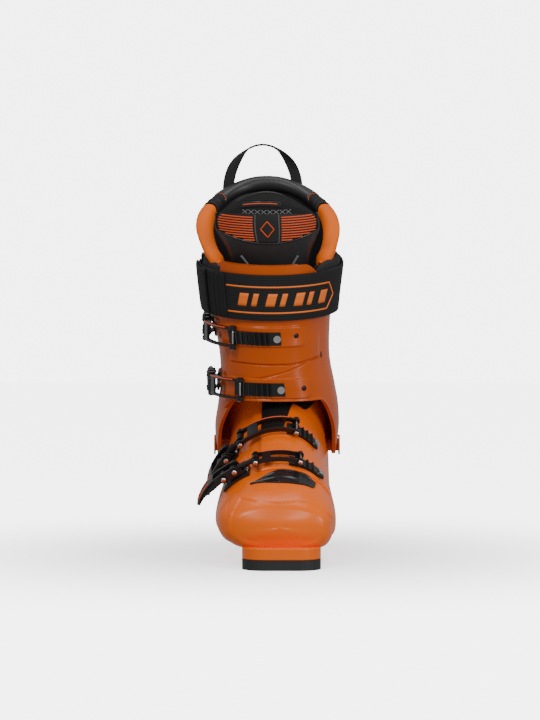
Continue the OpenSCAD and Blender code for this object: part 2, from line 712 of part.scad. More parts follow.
// ---- The four buckles ----------------------------------------------------------------------
module toe_buckle_base() {
  base(TOE);
}
module toe_buckle_lever() {
  lever(TOE);
}
module toe_buckle_lever_pins() {
  lever_pins(TOE);
}
module toe_buckle_barrel() {
  barrel(TOE);
}
module toe_buckle_bail() {
  bail(TOE);
}
module toe_buckle_bail_pins() {
  bail_pins(TOE);
}
module toe_ladder() {
  ladder(TOE);
}
module toe_rivets() {
  rivets(TOE);
}
module instep_buckle_base() {
  base(INSTEP);
}
module instep_buckle_lever() {
  lever(INSTEP);
}
module instep_buckle_lever_pins() {
  lever_pins(INSTEP);
}
module instep_buckle_barrel() {
  barrel(INSTEP);
}
module instep_buckle_bail() {
  bail(INSTEP);
}
module instep_buckle_bail_pins() {
  bail_pins(INSTEP);
}
module instep_ladder() {
  ladder(INSTEP);
}
module instep_rivets() {
  rivets(INSTEP);
}
module shin_buckle_base() {
  base(SHIN);
}
module shin_buckle_lever() {
  lever(SHIN);
}
module shin_buckle_lever_pins() {
  lever_pins(SHIN);
}
module shin_buckle_barrel() {
  barrel(SHIN);
}
module shin_buckle_bail() {
  bail(SHIN);
}
module shin_buckle_bail_pins() {
  bail_pins(SHIN);
}
module shin_ladder() {
  ladder(SHIN);
}
module shin_rivets() {
  rivets(SHIN);
}
module calf_buckle_base() {
  base(CALF);
}
module calf_buckle_lever() {
  lever(CALF);
}
module calf_buckle_lever_pins() {
  lever_pins(CALF);
}
module calf_buckle_barrel() {
  barrel(CALF);
}
module calf_buckle_bail() {
  bail(CALF);
}
module calf_buckle_bail_pins() {
  bail_pins(CALF);
}
module calf_ladder() {
  ladder(CALF);
}
module calf_rivets() {
  rivets(CALF);
}

lower_shell();
overlap_flap();
throat_seal();
toe_inset();
toe_sole();
heel_sole();
toe_sole_screws();
heel_sole_screws();
boot_board();
insole();
liner_foot();
cuff();
cuff_pivots();
rear_spoiler();
spine_bolts();
liner_upper();
collar_pads();
liner_tongue();
pull_loop();
power_strap();
strap_anchor();
strap_ring();
strap_screws();
toe_buckle_base();
toe_buckle_lever();
toe_buckle_lever_pins();
toe_buckle_barrel();
toe_buckle_bail();
toe_buckle_bail_pins();
toe_ladder();
toe_rivets();
instep_buckle_base();
instep_buckle_lever();
instep_buckle_lever_pins();
instep_buckle_barrel();
instep_buckle_bail();
instep_buckle_bail_pins();
instep_ladder();
instep_rivets();
shin_buckle_base();
shin_buckle_lever();
shin_buckle_lever_pins();
shin_buckle_barrel();
shin_buckle_bail();
shin_buckle_bail_pins();
shin_ladder();
shin_rivets();
calf_buckle_base();
calf_buckle_lever();
calf_buckle_lever_pins();
calf_buckle_barrel();
calf_buckle_bail();
calf_buckle_bail_pins();
calf_ladder();
calf_rivets();
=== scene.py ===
import math

import bpy
import numpy as np
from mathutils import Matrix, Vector


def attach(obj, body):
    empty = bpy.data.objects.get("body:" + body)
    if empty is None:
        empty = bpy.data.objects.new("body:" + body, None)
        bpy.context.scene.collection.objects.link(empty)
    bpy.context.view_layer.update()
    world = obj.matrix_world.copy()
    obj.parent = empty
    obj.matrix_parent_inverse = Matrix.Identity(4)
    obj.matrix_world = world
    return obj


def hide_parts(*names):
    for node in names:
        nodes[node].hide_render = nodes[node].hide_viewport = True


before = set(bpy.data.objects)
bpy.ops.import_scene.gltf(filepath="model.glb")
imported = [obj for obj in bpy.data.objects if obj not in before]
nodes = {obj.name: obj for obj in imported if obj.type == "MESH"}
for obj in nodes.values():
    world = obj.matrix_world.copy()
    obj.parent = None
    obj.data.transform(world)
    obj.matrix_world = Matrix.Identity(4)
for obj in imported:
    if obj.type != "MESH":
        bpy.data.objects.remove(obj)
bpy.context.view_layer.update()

MM = 0.001
SHIFT_X = 9.0  # the lugs' centreline, beside the middle of the whole boot
PIVOT_Y, PIVOT_Z = 62.0, 98.0

# ---- The lofts, as in part.scad -----------------------------------------------------------
SHELL = np.array([
    [-140.0, 45, -138.5, 27, 0, 30.0, 27.0, 2.3, 2.3, 2.3, 0.50],
    [-138.0, 53, -136.5, 21, 0, 41.0, 37.0, 2.3, 2.3, 2.6, 0.50],
    [-132.0, 60, -130.0, 18, -1, 48.0, 43.0, 2.2, 2.3, 2.9, 0.49],
    [-120.0, 68, -115.0, 17, -1, 54.5, 47.0, 2.1, 2.3, 3.2, 0.45],
    [-103.0, 77, -91.0, 17, 0, 58.0, 48.5, 2.0, 2.4, 3.4, 0.38],
    [-82.0, 88, -58.0, 17, 0, 59.0, 49.0, 2.0, 2.4, 3.4, 0.33],
    [-60.0, 101, -17.0, 17, 0, 58.0, 48.0, 2.0, 2.4, 3.4, 0.30],
    [-38.0, 118, 32.0, 17, 0, 55.0, 46.5, 2.0, 2.5, 3.2, 0.29],
    [-15.0, 132.5, 78.0, 18, 0, 53.0, 46.0, 2.0, 2.6, 3.0, 0.33],
    [3.0, 148.5, 112.0, 21, 0, 52.0, 46.0, 2.0, 2.6, 2.8, 0.38],
    [13.0, 162, 135.0, 31, 0, 50.5, 45.5, 2.0, 2.5, 2.6, 0.42],
    [18.5, 171.5, 146.0, 50, -1, 49.5, 45.5, 2.0, 2.4, 2.4, 0.45],
    [21.5, 179, 146.5, 70, -1, 49.0, 45.5, 2.0, 2.3, 2.3, 0.47],
    [24.0, 185, 142.0, 92, -2, 47.5, 45.5, 2.0, 2.2, 2.2, 0.48],
    [27.0, 190, 136.5, 114, -3, 46.0, 45.0, 2.0, 2.2, 2.2, 0.50],
])
CUFF = np.array([
    [-8.0, 86, 152.0, 92, -4.0, 55.5, 55.5, 2.0, 2.9, 2.9, 0.60],
    [-12.0, 113, 151.5, 120, -3.5, 58.5, 58.5, 2.0, 2.8, 2.8, 0.60],
    [-19.5, 134, 148.0, 146, -2.5, 56.5, 56.5, 2.1, 2.6, 2.6, 0.62],
    [-21.5, 153, 144.0, 168, -3.0, 53.5, 53.5, 2.1, 2.5, 2.5, 0.64],
    [-24.5, 180, 137.0, 202, -6.0, 51.5, 51.5, 2.0, 2.4, 2.4, 0.65],
    [-32.0, 222, 127.0, 250, -9.0, 56.0, 56.0, 2.0, 2.3, 2.3, 0.62],
    [-40.0, 264, 117.0, 296, -9.0, 61.0, 61.0, 2.0, 2.3, 2.3, 0.60],
    [-47.0, 300, 108.0, 336, -10.0, 65.0, 65.0, 2.0, 2.3, 2.3, 0.58],
])
LINER = np.array([
    [-4.0, 146, 134.0, 158, -3.5, 44.5, 44.5, 2.0, 2.3, 2.3, 0.64],
    [-11.0, 176, 129.0, 198, -6.0, 45.5, 45.5, 2.0, 2.3, 2.3, 0.64],
    [-19.0, 208, 121.0, 236, -8.5, 48.5, 48.5, 2.0, 2.3, 2.3, 0.62],
    [-28.0, 244, 112.0, 276, -9.0, 52.5, 52.5, 2.0, 2.3, 2.3, 0.60],
    [-35.0, 274, 105.5, 306, -10.5, 58.5, 58.0, 2.0, 2.3, 2.3, 0.58],
    [-41.0, 298, 100.0, 330, -12.5, 66.0, 65.5, 2.0, 2.3, 2.3, 0.56],
    [-46.0, 320, 97.0, 353, -13.0, 60.0, 59.0, 2.0, 2.4, 2.4, 0.54],
    [-50.0, 342, 94.0, 376, -13.0, 50.0, 49.0, 2.0, 2.4, 2.4, 0.52],
])


def station(st, s):
    """Rows of a station table between its own, for an array of s."""
    n = len(st) - 1
    i = np.clip(np.floor(s).astype(int), 0, n - 1)
    t = (s - i)[..., None]
    a, b, c, d = st[np.maximum(i - 1, 0)], st[i], st[i + 1], st[np.minimum(i + 2, n)]
    return 0.5 * (
        2 * b + (c - a) * t + (2 * a - 5 * b + 4 * c - d) * t**2 + (3 * b - a - 3 * c + d) * t**3
    )


def at(st, s, th, d):
    """Points of a loft in mm: s counts stations, th goes round from the front, d is outside."""
    s, th, d = np.broadcast_arrays(*(np.asarray(v, float) for v in (s, th, d)))
    q = station(st, s)
    c, n = np.cos(np.radians(th)), np.sin(np.radians(th))
    span = np.stack([q[..., 0] - q[..., 2], q[..., 1] - q[..., 3]], -1)
    long = np.linalg.norm(span, axis=-1)
    e = span / long[..., None]
    up = c >= 0
    half = np.where(up, (1 - q[..., 10]) * long, q[..., 10] * long) + d
    ex = np.where(up, q[..., 7], np.where(n < 0, q[..., 8], q[..., 9]))
    side = np.where(n < 0, -(q[..., 5] + d), q[..., 6] + d)
    x = q[..., 4] + side * np.abs(n) ** (2 / ex)
    f = np.where(up, half, -half) * np.abs(c) ** (2 / ex) + q[..., 10] * long
    return np.stack([x + SHIFT_X, q[..., 2] + e[..., 0] * f, q[..., 3] + e[..., 1] * f], -1)


def lerp(a, b, t):
    return a + (b - a) * t


def ease(a, b, v):
    t = np.clip((v - a) / (b - a), 0, 1)
    return t * t * (3 - 2 * t)


def bump(v, middle, width):
    """1 at the middle, falling smoothly to 0 at a distance of width."""
    t = np.clip(1 - np.abs((v - middle) / width), 0, 1)
    return t * t * (3 - 2 * t)


def front(th):
    return np.abs((th + 180) % 360 - 180)


# ---- Meshes -------------------------------------------------------------------------------
def add_mesh(name, verts, faces, mats, uv=None, face_mats=None):
    me = bpy.data.meshes.new(name)
    me.from_pydata([tuple(v) for v in np.asarray(verts).reshape(-1, 3)], [], faces)
    if uv is not None:
        layer = me.uv_layers.new(name="UVMap")
        flat_uv = np.asarray(uv).reshape(-1, 2)
        idx = np.empty(len(me.loops), dtype=np.int32)
        me.loops.foreach_get("vertex_index", idx)
        layer.data.foreach_set("uv", flat_uv[idx].astype(np.float32).ravel())
    for m in mats:
        me.materials.append(m)
    if face_mats is not None:
        me.polygons.foreach_set("material_index", np.asarray(face_mats, dtype=np.int32))
    me.polygons.foreach_set("use_smooth", [True] * len(me.polygons))
    me.update()
    ob = bpy.data.objects.new(name, me)
    bpy.context.scene.collection.objects.link(ob)
    return ob


def grid_faces(nu, nv, closed=False, flip=False, base=0):
    nc = nu if closed else nu - 1
    i, j = np.meshgrid(np.arange(nc), np.arange(nv - 1), indexing="ij")
    a = base + i * nv + j
    b = base + ((i + 1) % nu) * nv + j
    q = np.stack([a, b, b + 1, a + 1], -1).reshape(-1, 4)
    return (q[:, ::-1] if flip else q).tolist()


def lengths(p):
    """Running length in metres along the first and the second direction of a grid of points."""
    u = np.zeros(p.shape[:2])
    v = np.zeros(p.shape[:2])
    u[1:] = np.cumsum(np.linalg.norm(np.diff(p, axis=0), axis=-1), axis=0)
    v[:, 1:] = np.cumsum(np.linalg.norm(np.diff(p, axis=1), axis=-1), axis=1)
    return np.stack([u, v], -1) * MM


def run_along(path):
    """Running length of a path, in its own units."""
    return np.concatenate([[0], np.cumsum(np.linalg.norm(np.diff(path, axis=0), axis=1))])


def wall_faces(nu, nv, closed=False, base=0):
    """Faces between two grids of points that follow each other: both sides, then the rims."""
    m = nu * nv
    faces = grid_faces(nu, nv, closed, flip=True, base=base)
    faces += grid_faces(nu, nv, closed, base=base + m)
    for i in range(nu if closed else nu - 1):
        a, b = base + i * nv, base + ((i + 1) % nu) * nv
        faces.append((a, b, m + b, m + a))
        a, b = a + nv - 1, b + nv - 1
        faces.append((b, a, m + a, m + b))
    if not closed:
        for a in range(base, base + nv - 1):
            b = a + (nu - 1) * nv
            faces.append((a + 1, a, m + a, m + a + 1))
            faces.append((b, b + 1, m + b + 1, m + b))
    return faces


def sheet_piece(name, outer, inner, mats, closed=False, edge=0.0008, outer_mats=None):
    """A wall between two grids of points in mm, with its rims and rounded edges."""
    nu, nv = outer.shape[:2]
    faces = wall_faces(nu, nv, closed)
    lay = lengths(outer).reshape(-1, 2)
    face_mats = np.zeros(len(faces), int)
    if outer_mats is not None:
        face_mats[:outer_mats.size] = outer_mats.ravel()
    verts = np.concatenate([outer.reshape(-1, 3), inner.reshape(-1, 3)]) * MM
    ob = add_mesh(name, verts, faces, mats, np.concatenate([lay, lay]), face_mats=face_mats)
    if edge:
        round_edges(ob, edge, 3, 45)
    return ob


def round_edges(ob, width, segments=3, angle=35):
    b = ob.modifiers.new("round", "BEVEL")
    b.width = width
    b.segments = segments
    b.limit_method = "ANGLE"
    b.angle_limit = math.radians(angle)
    b.use_clamp_overlap = True


def normals(p):
    """Outward unit normals of a grid of points whose rows run round the boot."""
    du = np.gradient(p, axis=0)
    dv = np.gradient(p, axis=1)
    n = np.cross(du, dv)
    return n / np.maximum(np.linalg.norm(n, axis=-1, keepdims=True), 1e-9)


# ---- Materials ----------------------------------------------------------------------------
class Mat:
    """A node material around one Principled shader."""

    def __init__(self, name, color, rough=0.4, **values):
        self.m = bpy.data.materials.new(name)
        self.m.use_nodes = True
        self.t = self.m.node_tree
        self.p = self.t.nodes["Principled BSDF"]
        self.p.inputs["Base Color"].default_value = color
        self.p.inputs["Roughness"].default_value = rough
        for k, v in values.items():
            self.p.inputs[k.replace("_", " ")].default_value = v
        self.m.diffuse_color = color

    def node(self, kind, **sets):
        n = self.t.nodes.new(kind)
        for k, v in sets.items():
            if hasattr(n, k):
                setattr(n, k, v)
            else:
                n.inputs[k.replace("_", " ")].default_value = v
        return n

    def link(self, a, b):
        self.t.links.new(a, b)

    def coords(self, kind):
        return self.node("ShaderNodeTexCoord").outputs[kind]

    def noise(self, scale, detail=4):
        n = self.node("ShaderNodeTexNoise", Scale=scale, Detail=detail)
        self.link(self.coords("Object"), n.inputs["Vector"])
        return n.outputs["Fac"]

    def bump(self, height, strength, distance):
        b = self.node("ShaderNodeBump", Strength=strength, Distance=distance)
        self.link(height, b.inputs["Height"])
        old = self.p.inputs["Normal"].links
        if old:
            self.link(old[0].from_socket, b.inputs["Normal"])
        self.link(b.outputs["Normal"], self.p.inputs["Normal"])

    def ramp(self, fac, stops):
        r = self.node("ShaderNodeValToRGB")
        e = r.color_ramp.elements
        e[0].position, e[0].color = stops[0]
        e[1].position, e[1].color = stops[-1]
        for pos, col in stops[1:-1]:
            x = e.new(pos)
            x.color = col
        self.link(fac, r.inputs["Fac"])
        return r.outputs["Color"]

    def vary_rough(self, scale, low, high):
        m = self.node("ShaderNodeMapRange", To_Min=low, To_Max=high)
        self.link(self.noise(scale), m.inputs["Value"])
        self.link(m.outputs["Result"], self.p.inputs["Roughness"])

    def weave(self, warp, weft, strength=0.6, distance=0.0004):
        """A plain weave on the UV map, which is in metres: warp and weft are threads a metre."""
        sep = self.node("ShaderNodeSeparateXYZ")
        self.link(self.coords("UV"), sep.inputs[0])
        waves = []
        for out, n in ((sep.outputs["X"], warp), (sep.outputs["Y"], weft)):
            mul = self.node("ShaderNodeMath", operation="MULTIPLY")
            mul.inputs[1].default_value = n * math.pi
            sin = self.node("ShaderNodeMath", operation="SINE")
            self.link(out, mul.inputs[0])
            self.link(mul.outputs[0], sin.inputs[0])
            ab = self.node("ShaderNodeMath", operation="ABSOLUTE")
            self.link(sin.outputs[0], ab.inputs[0])
            waves.append(ab.outputs[0])
        mx = self.node("ShaderNodeMath", operation="MULTIPLY")
        self.link(waves[0], mx.inputs[0])
        self.link(waves[1], mx.inputs[1])
        self.bump(mx.outputs[0], strength, distance)
        return mx.outputs[0]


def shade(c, k):
    return tuple(x * k for x in c[:3]) + (1,)


def orange_plastic(name, color, rough, coat):
    m = Mat(name, color, rough, Coat_Weight=coat, Coat_Roughness=0.2, Specular_IOR_Level=0.3)
    m.vary_rough(60, rough - 0.04, rough + 0.05)
    col = m.ramp(m.noise(14, 2), [(0.3, shade(color, 0.93)), (0.7, shade(color, 1.05))])
    m.link(col, m.p.inputs["Base Color"])
    m.bump(m.noise(900, 3), 0.04, 0.0002)
    return m.m


def black_plastic(name, color, rough, grain=1500, strength=0.12, **values):
    m = Mat(name, color, rough, **values)
    m.bump(m.noise(grain, 3), strength, 0.0002)
    m.vary_rough(120, rough - 0.05, rough + 0.07)
    return m.m


def webbing(name, color, warp=900, weft=450, strength=0.7):
    m = Mat(name, color, 0.75, Specular_IOR_Level=0.3)
    w = m.weave(warp, weft, strength, 0.0004)
    # The weave's hollows are painted darker than its threads: painted shade between the threads, from the
    # same height that drives the bump
    m.link(m.ramp(w, [(0.0, shade(color, 0.4)), (0.9, color)]), m.p.inputs["Base Color"])
    return m.m


SHELL_ORANGE = orange_plastic("shell_orange", (0.98, 0.155, 0.0, 1), 0.27, 0.1)
CUFF_ORANGE = orange_plastic("cuff_orange", (0.58, 0.085, 0.0, 1), 0.25, 0.2)
BLACK_GLOSS = black_plastic("black_gloss", (0.014, 0.014, 0.015, 1), 0.22, strength=0.03)
BLACK_SATIN = black_plastic("black_satin", (0.008, 0.008, 0.008, 1), 0.36)
BLACK_METAL = black_plastic("black_metal", (0.010, 0.010, 0.011, 1), 0.26, strength=0.06)
BLACK_RUBBER = black_plastic("sole_rubber", (0.018, 0.019, 0.02, 1), 0.6, 900, 0.25)
BLACK_SKIN = black_plastic("liner_skin", (0.016, 0.016, 0.017, 1), 0.45, 700, 0.25)
BLACK_PLATE = black_plastic("tongue_plate", (0.020, 0.020, 0.022, 1), 0.4, 500, 0.08)
# Painted shade for the insides of holes: a near-black with a little red
PAINTED_HOLE_SHADE = black_plastic("painted_hole_shade", (0.010, 0.002, 0.002, 1), 0.4)
BOARD = black_plastic("board", (0.03, 0.03, 0.03, 1), 0.6)
FOAM = black_plastic("liner_foam", (0.02, 0.02, 0.021, 1), 0.7, 500, 0.4)
ORANGE_PRINT = black_plastic("orange_print", (0.95, 0.19, 0.008, 1), 0.5, 600, 0.1)
ORANGE_LINE = black_plastic("orange_line", (0.85, 0.10, 0.01, 1), 0.45, 600, 0.1)
ORANGE_THREAD = black_plastic("orange_thread", (0.75, 0.09, 0.01, 1), 0.6, 2000, 0.4)
GREY_THREAD = black_plastic("grey_thread", (0.22, 0.22, 0.23, 1), 0.5, 2000, 0.4)
# Grey print on the tongue's band, also used for the painted highlights on the plate's bevels
GREY_PRINT_AND_HIGHLIGHT = black_plastic("grey_print", (0.12, 0.12, 0.125, 1), 0.4, 900, 0.1)
PAD_ORANGE = black_plastic("pad_orange", (0.88, 0.15, 0.0, 1), 0.6, 900, 0.3, Specular_IOR_Level=0.25)
STEEL = black_plastic("steel", (0.60, 0.59, 0.57, 1), 0.26, 700, 0.05, Metallic=1.0)
WEB_BLACK = webbing("web_black", (0.022, 0.022, 0.023, 1))
WEB_LOOP = webbing("web_loop", (0.026, 0.026, 0.027, 1), 1200, 700)
RIM_CLOTH = webbing("rim_cloth", (0.022, 0.022, 0.023, 1), 500, 500, 0.9)
MESH_CLOTH = webbing("mesh_cloth", (0.032, 0.032, 0.034, 1), 420, 700, 0.9)


# ---- Shapes -------------------------------------------------------------------------------
def solid(name, verts, faces, mats, uv=None):
    """add_mesh for a closed form in mm, with its faces turned outwards."""
    v = np.asarray(verts, float).reshape(-1, 3)
    volume = 0.0
    for f in faces:
        for k in range(1, len(f) - 1):
            volume += np.dot(v[f[0]], np.cross(v[f[k]], v[f[k + 1]]))
    if volume < 0:
        faces = [tuple(f)[::-1] for f in faces]
    return add_mesh(name, v * MM, faces, mats, uv)


def put(ob, body, slot, *cad):
    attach(ob, body)
    if cad:
        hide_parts(*cad)
    return ob


def tube_verts(path, r, up=None, sides=8, flat=1.0):
    """Ring points of a tube along a path of points in mm."""
    path = np.asarray(path, float)
    t = np.gradient(path, axis=0)
    t /= np.maximum(np.linalg.norm(t, axis=1, keepdims=True), 1e-9)
    ref = np.array([0.0, -1.0, 0.12]) if up is None else np.asarray(up, float)
    a = np.cross(t, ref)
    a /= np.maximum(np.linalg.norm(a, axis=1, keepdims=True), 1e-9)
    b = np.cross(a, t)
    k = 2 * np.pi * np.arange(sides) / sides
    ring = np.cos(k)[None, :, None] * a[:, None] * r + np.sin(k)[None, :, None] * b[:, None] * r * flat
    return path[:, None] + ring


def tubes(name, paths, r, mat, body="cuff_body", slot="pad_orange", up=None, sides=8, flat=1.0):
    """Cords, threads, beads and printed lines as one piece."""
    verts, faces = [], []
    for path in paths:
        p = tube_verts(path, r, up, sides, flat)
        n = len(p)
        base = sum(len(v) for v in verts)
        verts.append(p.reshape(-1, 3))
        for i in range(n - 1):
            for j in range(sides):
                a, b = base + i * sides, base + (i + 1) * sides
                k = (j + 1) % sides
                faces.append((a + j, b + j, b + k, a + k))
        faces.append(tuple(base + j for j in range(sides)))
        faces.append(tuple(base + (n - 1) * sides + j for j in range(sides))[::-1])
    ob = solid(name, np.concatenate(verts), faces, [mat])
    return put(ob, body, slot)


def loft_tube(name, points, mat):
    """A closed form from rings of points: points[i, j] runs round ring i."""
    nu, nv = points.shape[:2]
    faces = []
    for i in range(nu - 1):
        for j in range(nv):
            k = (j + 1) % nv
            faces.append((i * nv + j, (i + 1) * nv + j, (i + 1) * nv + k, i * nv + k))
    faces.append(tuple(range(nv))[::-1])
    faces.append(tuple((nu - 1) * nv + j for j in range(nv)))
    return solid(name, points, faces, [mat], lengths(points))


def disc(st, s, th, d, r, depth, n=28):
    """A shallow bowl let into a loft's face: its rim points and middle, in mm."""
    c, cx, cz = at(st, s, th, d), at(st, s, th + 0.5, d), at(st, s + 0.02, th, d)
    a = (cx - c) / np.linalg.norm(cx - c)
    b = cz - c
    b -= a * np.dot(a, b)
    b /= np.linalg.norm(b)
    out = np.cross(a, b)
    k = 2 * np.pi * np.arange(n) / n
    rim = c + r[0] * np.cos(k)[:, None] * a + r[1] * np.sin(k)[:, None] * b
    return c, rim, out, depth


def hole_shade_discs(name, items, mat, body, slot):
    """Small dark lens shapes laid on a face: painted shade that stands in for the dark insides of holes.
    """
    verts, faces = [], []
    for c, rim, out, depth in items:
        base = len(verts)
        n = len(rim)
        verts += list(rim + out * 0.12) + list(rim - out * depth) + [c + out * 0.05, c - out * depth]
        for j in range(n):
            k = (j + 1) % n
            faces.append((base + j, base + k, base + 2 * n))
            faces.append((base + j, base + n + j, base + n + k, base + k))
            faces.append((base + n + k, base + n + j, base + 2 * n + 1))
    return put(solid(name, verts, faces, [mat]), body, slot)


def grid_piece(name, st, th0, th1, s0, s1, d_out, d_in, mat, nu, nv, edge):
    """A sheet over a loft: the limits in s may be functions of th, the distances of s and th."""
    def value(v, *where):
        return v(*where) if callable(v) else v

    th = np.linspace(th0, th1, nu)[:, None] + np.zeros((1, nv))
    s = lerp(value(s0, th), value(s1, th), np.linspace(0, 1, nv)[None, :])
    outer, inner = (at(st, s, th, value(d, s, th)) for d in (d_out, d_in))
    ob = sheet_piece(name, outer, inner, [mat], edge=edge)
    return put(ob, "shell_body", "seal_black" if mat is BLACK_GLOSS else "shell_orange",
               name.removesuffix("_skin"))


# ---- Lower shell --------------------------------------------------------------------------
def shell_features(s, th, p):
    """How far the lower shell's face stands off its loft, in mm, for its creases and steps."""
    x, y, z = p[..., 0] - SHIFT_X, p[..., 1], p[..., 2]
    front_half = ease(-84, -96, y)
    # The toe cap lies below the vamp, behind a step that dips a little past its middle
    line = np.interp(x, [-49, -44, -40, -36, -22, 0, 12, 22, 31, 38, 44, 49],
                     [40, 47, 55, 61.5, 59.5, 58, 59.3, 58.5, 55.5, 51, 45, 38])
    side = ease(-47.5, -43, x) * ease(48, 44, x)
    d = -0.95 * ease(0.7, -0.7, z - line) * side * front_half
    # A shorter crease beside its lateral end
    near = np.abs((x + 47.5) - 0.16 * (z - 50))
    d = d - 0.5 * np.clip(1 - near / 1.4, 0, 1) * (z > 44) * (z < 58) * front_half
    # A soft bead along the bottom, over the lug
    d = d + 0.5 * bump(z, 22, 4) * (y < -100) * (np.abs(x) < 46)
    # The toe box stays wide low down
    d = d + 3.8 * ease(84, 138, front(th)) * bump(s, 2.6, 2.4) * ease(-100, -120, y)
    # Raised strip along the wall, medial side
    d = d + 0.6 * bump(s, 4.42, 0.10) * ease(44, 52, th) * ease(78, 66, th)
    return d


def lower_shell():
    nu, nv, nose = 400, 340, 60
    th = np.linspace(0, 360, nu, endpoint=False)[:, None] + np.zeros((1, nv))
    row = np.concatenate([np.full(nose, 0.9), 0.9 + 13.7 * np.linspace(0, 1, nv - nose + 1)[1:] ** 1.15])
    s = row[None, :] + np.zeros((nu, 1))
    base = at(SHELL, s, th, 0)
    # The nose is drawn on from its first ring to one smooth point
    ring = at(SHELL, 0.9, th[:, :1], 0)
    way = at(SHELL, 0.95, th[:, :1], 0) - ring
    point = ring.mean(axis=0) + np.array([0, -5.6, 0])
    reach = np.linalg.norm(ring - point, axis=-1, keepdims=True)
    level = (ring - point) * np.array([1, 0, 1])
    leave = level / np.linalg.norm(level, axis=-1, keepdims=True) * reach
    arrive = way / np.linalg.norm(way, axis=-1, keepdims=True) * reach
    t = np.linspace(0.02, 1, nose)[None, :, None]
    base[:, :nose] = (
        (2 * t**3 - 3 * t**2 + 1) * point + (t**3 - 2 * t**2 + t) * leave
        + (3 * t**2 - 2 * t**3) * ring + (t**3 - t**2) * arrive
    )
    p = base + normals(base) * shell_features(s, th, base)[..., None]
    inner = at(SHELL, np.maximum(s, 0.6), th, -4.5)
    tip = p[:, 0].mean(axis=0)
    m = nu * nv
    verts = np.concatenate([p.reshape(-1, 3), [tip], inner.reshape(-1, 3)])
    faces = grid_faces(nu, nv, True, flip=True)
    faces += [(i * nv, ((i + 1) % nu) * nv, m) for i in range(nu)]
    faces += grid_faces(nu, nv, True, base=m + 1)
    for i in range(nu):
        a, b = i * nv + nv - 1, ((i + 1) % nu) * nv + nv - 1
        faces.append((b, a, m + 1 + a, m + 1 + b))
    lay = lengths(p).reshape(-1, 2)
    uv = np.concatenate([lay, [[0, 0]], lay])
    ob = add_mesh("shell_body_skin", verts * MM, faces, [SHELL_ORANGE], uv)
    return put(ob, "shell_body", "shell_orange", "lower_shell")


def rounded_plan(y0, y1, r0, r1, w, n=14):
    """Plan outline of a sole block in mm, anticlockwise from above."""
    pts = []
    for cx, cy, r, a0 in (
        (w / 2 - r0, y0 + r0, r0, -90), (w / 2 - r1, y1 - r1, r1, 0),
        (-w / 2 + r1, y1 - r1, r1, 90), (-w / 2 + r0, y0 + r0, r0, 180),
    ):
        for k in range(n + 1):
            a = math.radians(a0 + 90 * k / n)
            pts.append((cx + r * math.cos(a) + SHIFT_X, cy + r * math.sin(a)))
    return np.array(pts)


def prism(name, plan, z0, z1, mats, edge=0.001):
    n = len(plan)
    v = np.array([(x, y, z0) for x, y in plan] + [(x, y, z1) for x, y in plan])
    faces = [tuple(range(n))[::-1], tuple(range(n, 2 * n))]
    faces += [(i, (i + 1) % n, n + (i + 1) % n, n + i) for i in range(n)]
    ob = solid(name, v, faces, mats)
    for f in ob.data.polygons:
        f.use_smooth = False
    round_edges(ob, edge, 4, 50)
    return ob


lower_shell()
for name, plan, z0, z1, edge in (
    ("toe_lug", (-152.5, -60, 20, 4, 69), 9, 19.5, 0.0012),
    ("arch", (-118, 118, 12, 12, 60), 11, 27, 0.002),
    ("heel_lug", (64, 152.5, 4, 30, 69), 11, 30, 0.0015),
):
    put(prism(name, rounded_plan(*plan), z0, z1, [SHELL_ORANGE], edge), "shell_body",
        "shell_orange", "lower_shell")


def flap_rise(s, th):
    """The flap thins towards its hidden side, and its free edges are rounded down."""
    edge = ease(-19, -16.5, th) * ease(4.64, 4.78, s)
    return (3.1 - 2.3 * ease(20, 63, th)) * (0.35 + 0.65 * edge) + 0.02


grid_piece("overlap_flap_skin", SHELL, -19, 62, 4.66, 11.5, flap_rise, 0.2, SHELL_ORANGE, 180, 170, 0.0006)


def seal_low(th):
    return 6.8 + 1.6 * ease(0, 14, th) + 2.05 * ease(24, 54, th)


def seal_out(s, th):
    leaf = 0.8 * bump(s - seal_low(th), 1.3, 1.2) * ease(16, 26, th)
    return 4.1 - 2.3 * ease(20, 63, th) - 0.6 * ease(7, 10, th) * ease(14, 11, th) + leaf


def seal_in(s, th):
    return 3.3 - 2.3 * ease(20, 63, th)


grid_piece("throat_seal_skin", SHELL, -18, 54, seal_low, 11.3, seal_out, seal_in, BLACK_GLOSS, 110, 60,
           0.0004)


def inset_low(th):
    return 3.62 + 0.23 * ease(0, 28, -th) + 0.13 * ease(10, 33, th) + 0.3 * ease(34, 39, th)


def inset_high(th):
    return 4.58 - 0.68 * ease(0, 28, -th) - 0.3 * ease(25, 39, th)


def inset_out(s, th):
    v = (s - inset_low(th)) / (inset_high(th) - inset_low(th))
    rim = np.maximum(ease(0.16, 0.0, v), ease(0.84, 1.0, v))
    facets = 0.35 * np.abs(((v * 2.6 + 0.05 * th) % 1) - 0.5)
    return 0.35 + 0.75 * rim + facets + 0.3 * ease(0.45, 0.55, v)


grid_piece("toe_inset_skin", SHELL, -28, 38, inset_low, inset_high, inset_out, -0.2, BLACK_GLOSS, 130, 26,
           0.0003)

# ---- Cuff ---------------------------------------------------------------------------------
CUFF_FROM, CUFF_TO = -54.0, 384.0


def cuff_out(th):
    return 4 * (1 - ease(24, 60, th))


def cuff_low(th):
    return 0.1 + 2.35 * (1 - ease(40, 88, front(th))) + 0.25 * ease(150, 180, front(th))


def cuff_high(th):
    return 6.05 - 0.25 * ease(38, 56, front(th + 9)) + 0.5 * ease(120, 170, front(th))


def cuff_top(th):
    return cuff_high(th) - 0.5 * (1 - ease(-54, -42, th))


S_LINE = np.linspace(0, 7, 701)
V_LINE = run_along(at(CUFF, S_LINE, 0, 0))


def front_mm(s):
    """Height up the cuff's front line in mm."""
    return np.interp(s, S_LINE, V_LINE)


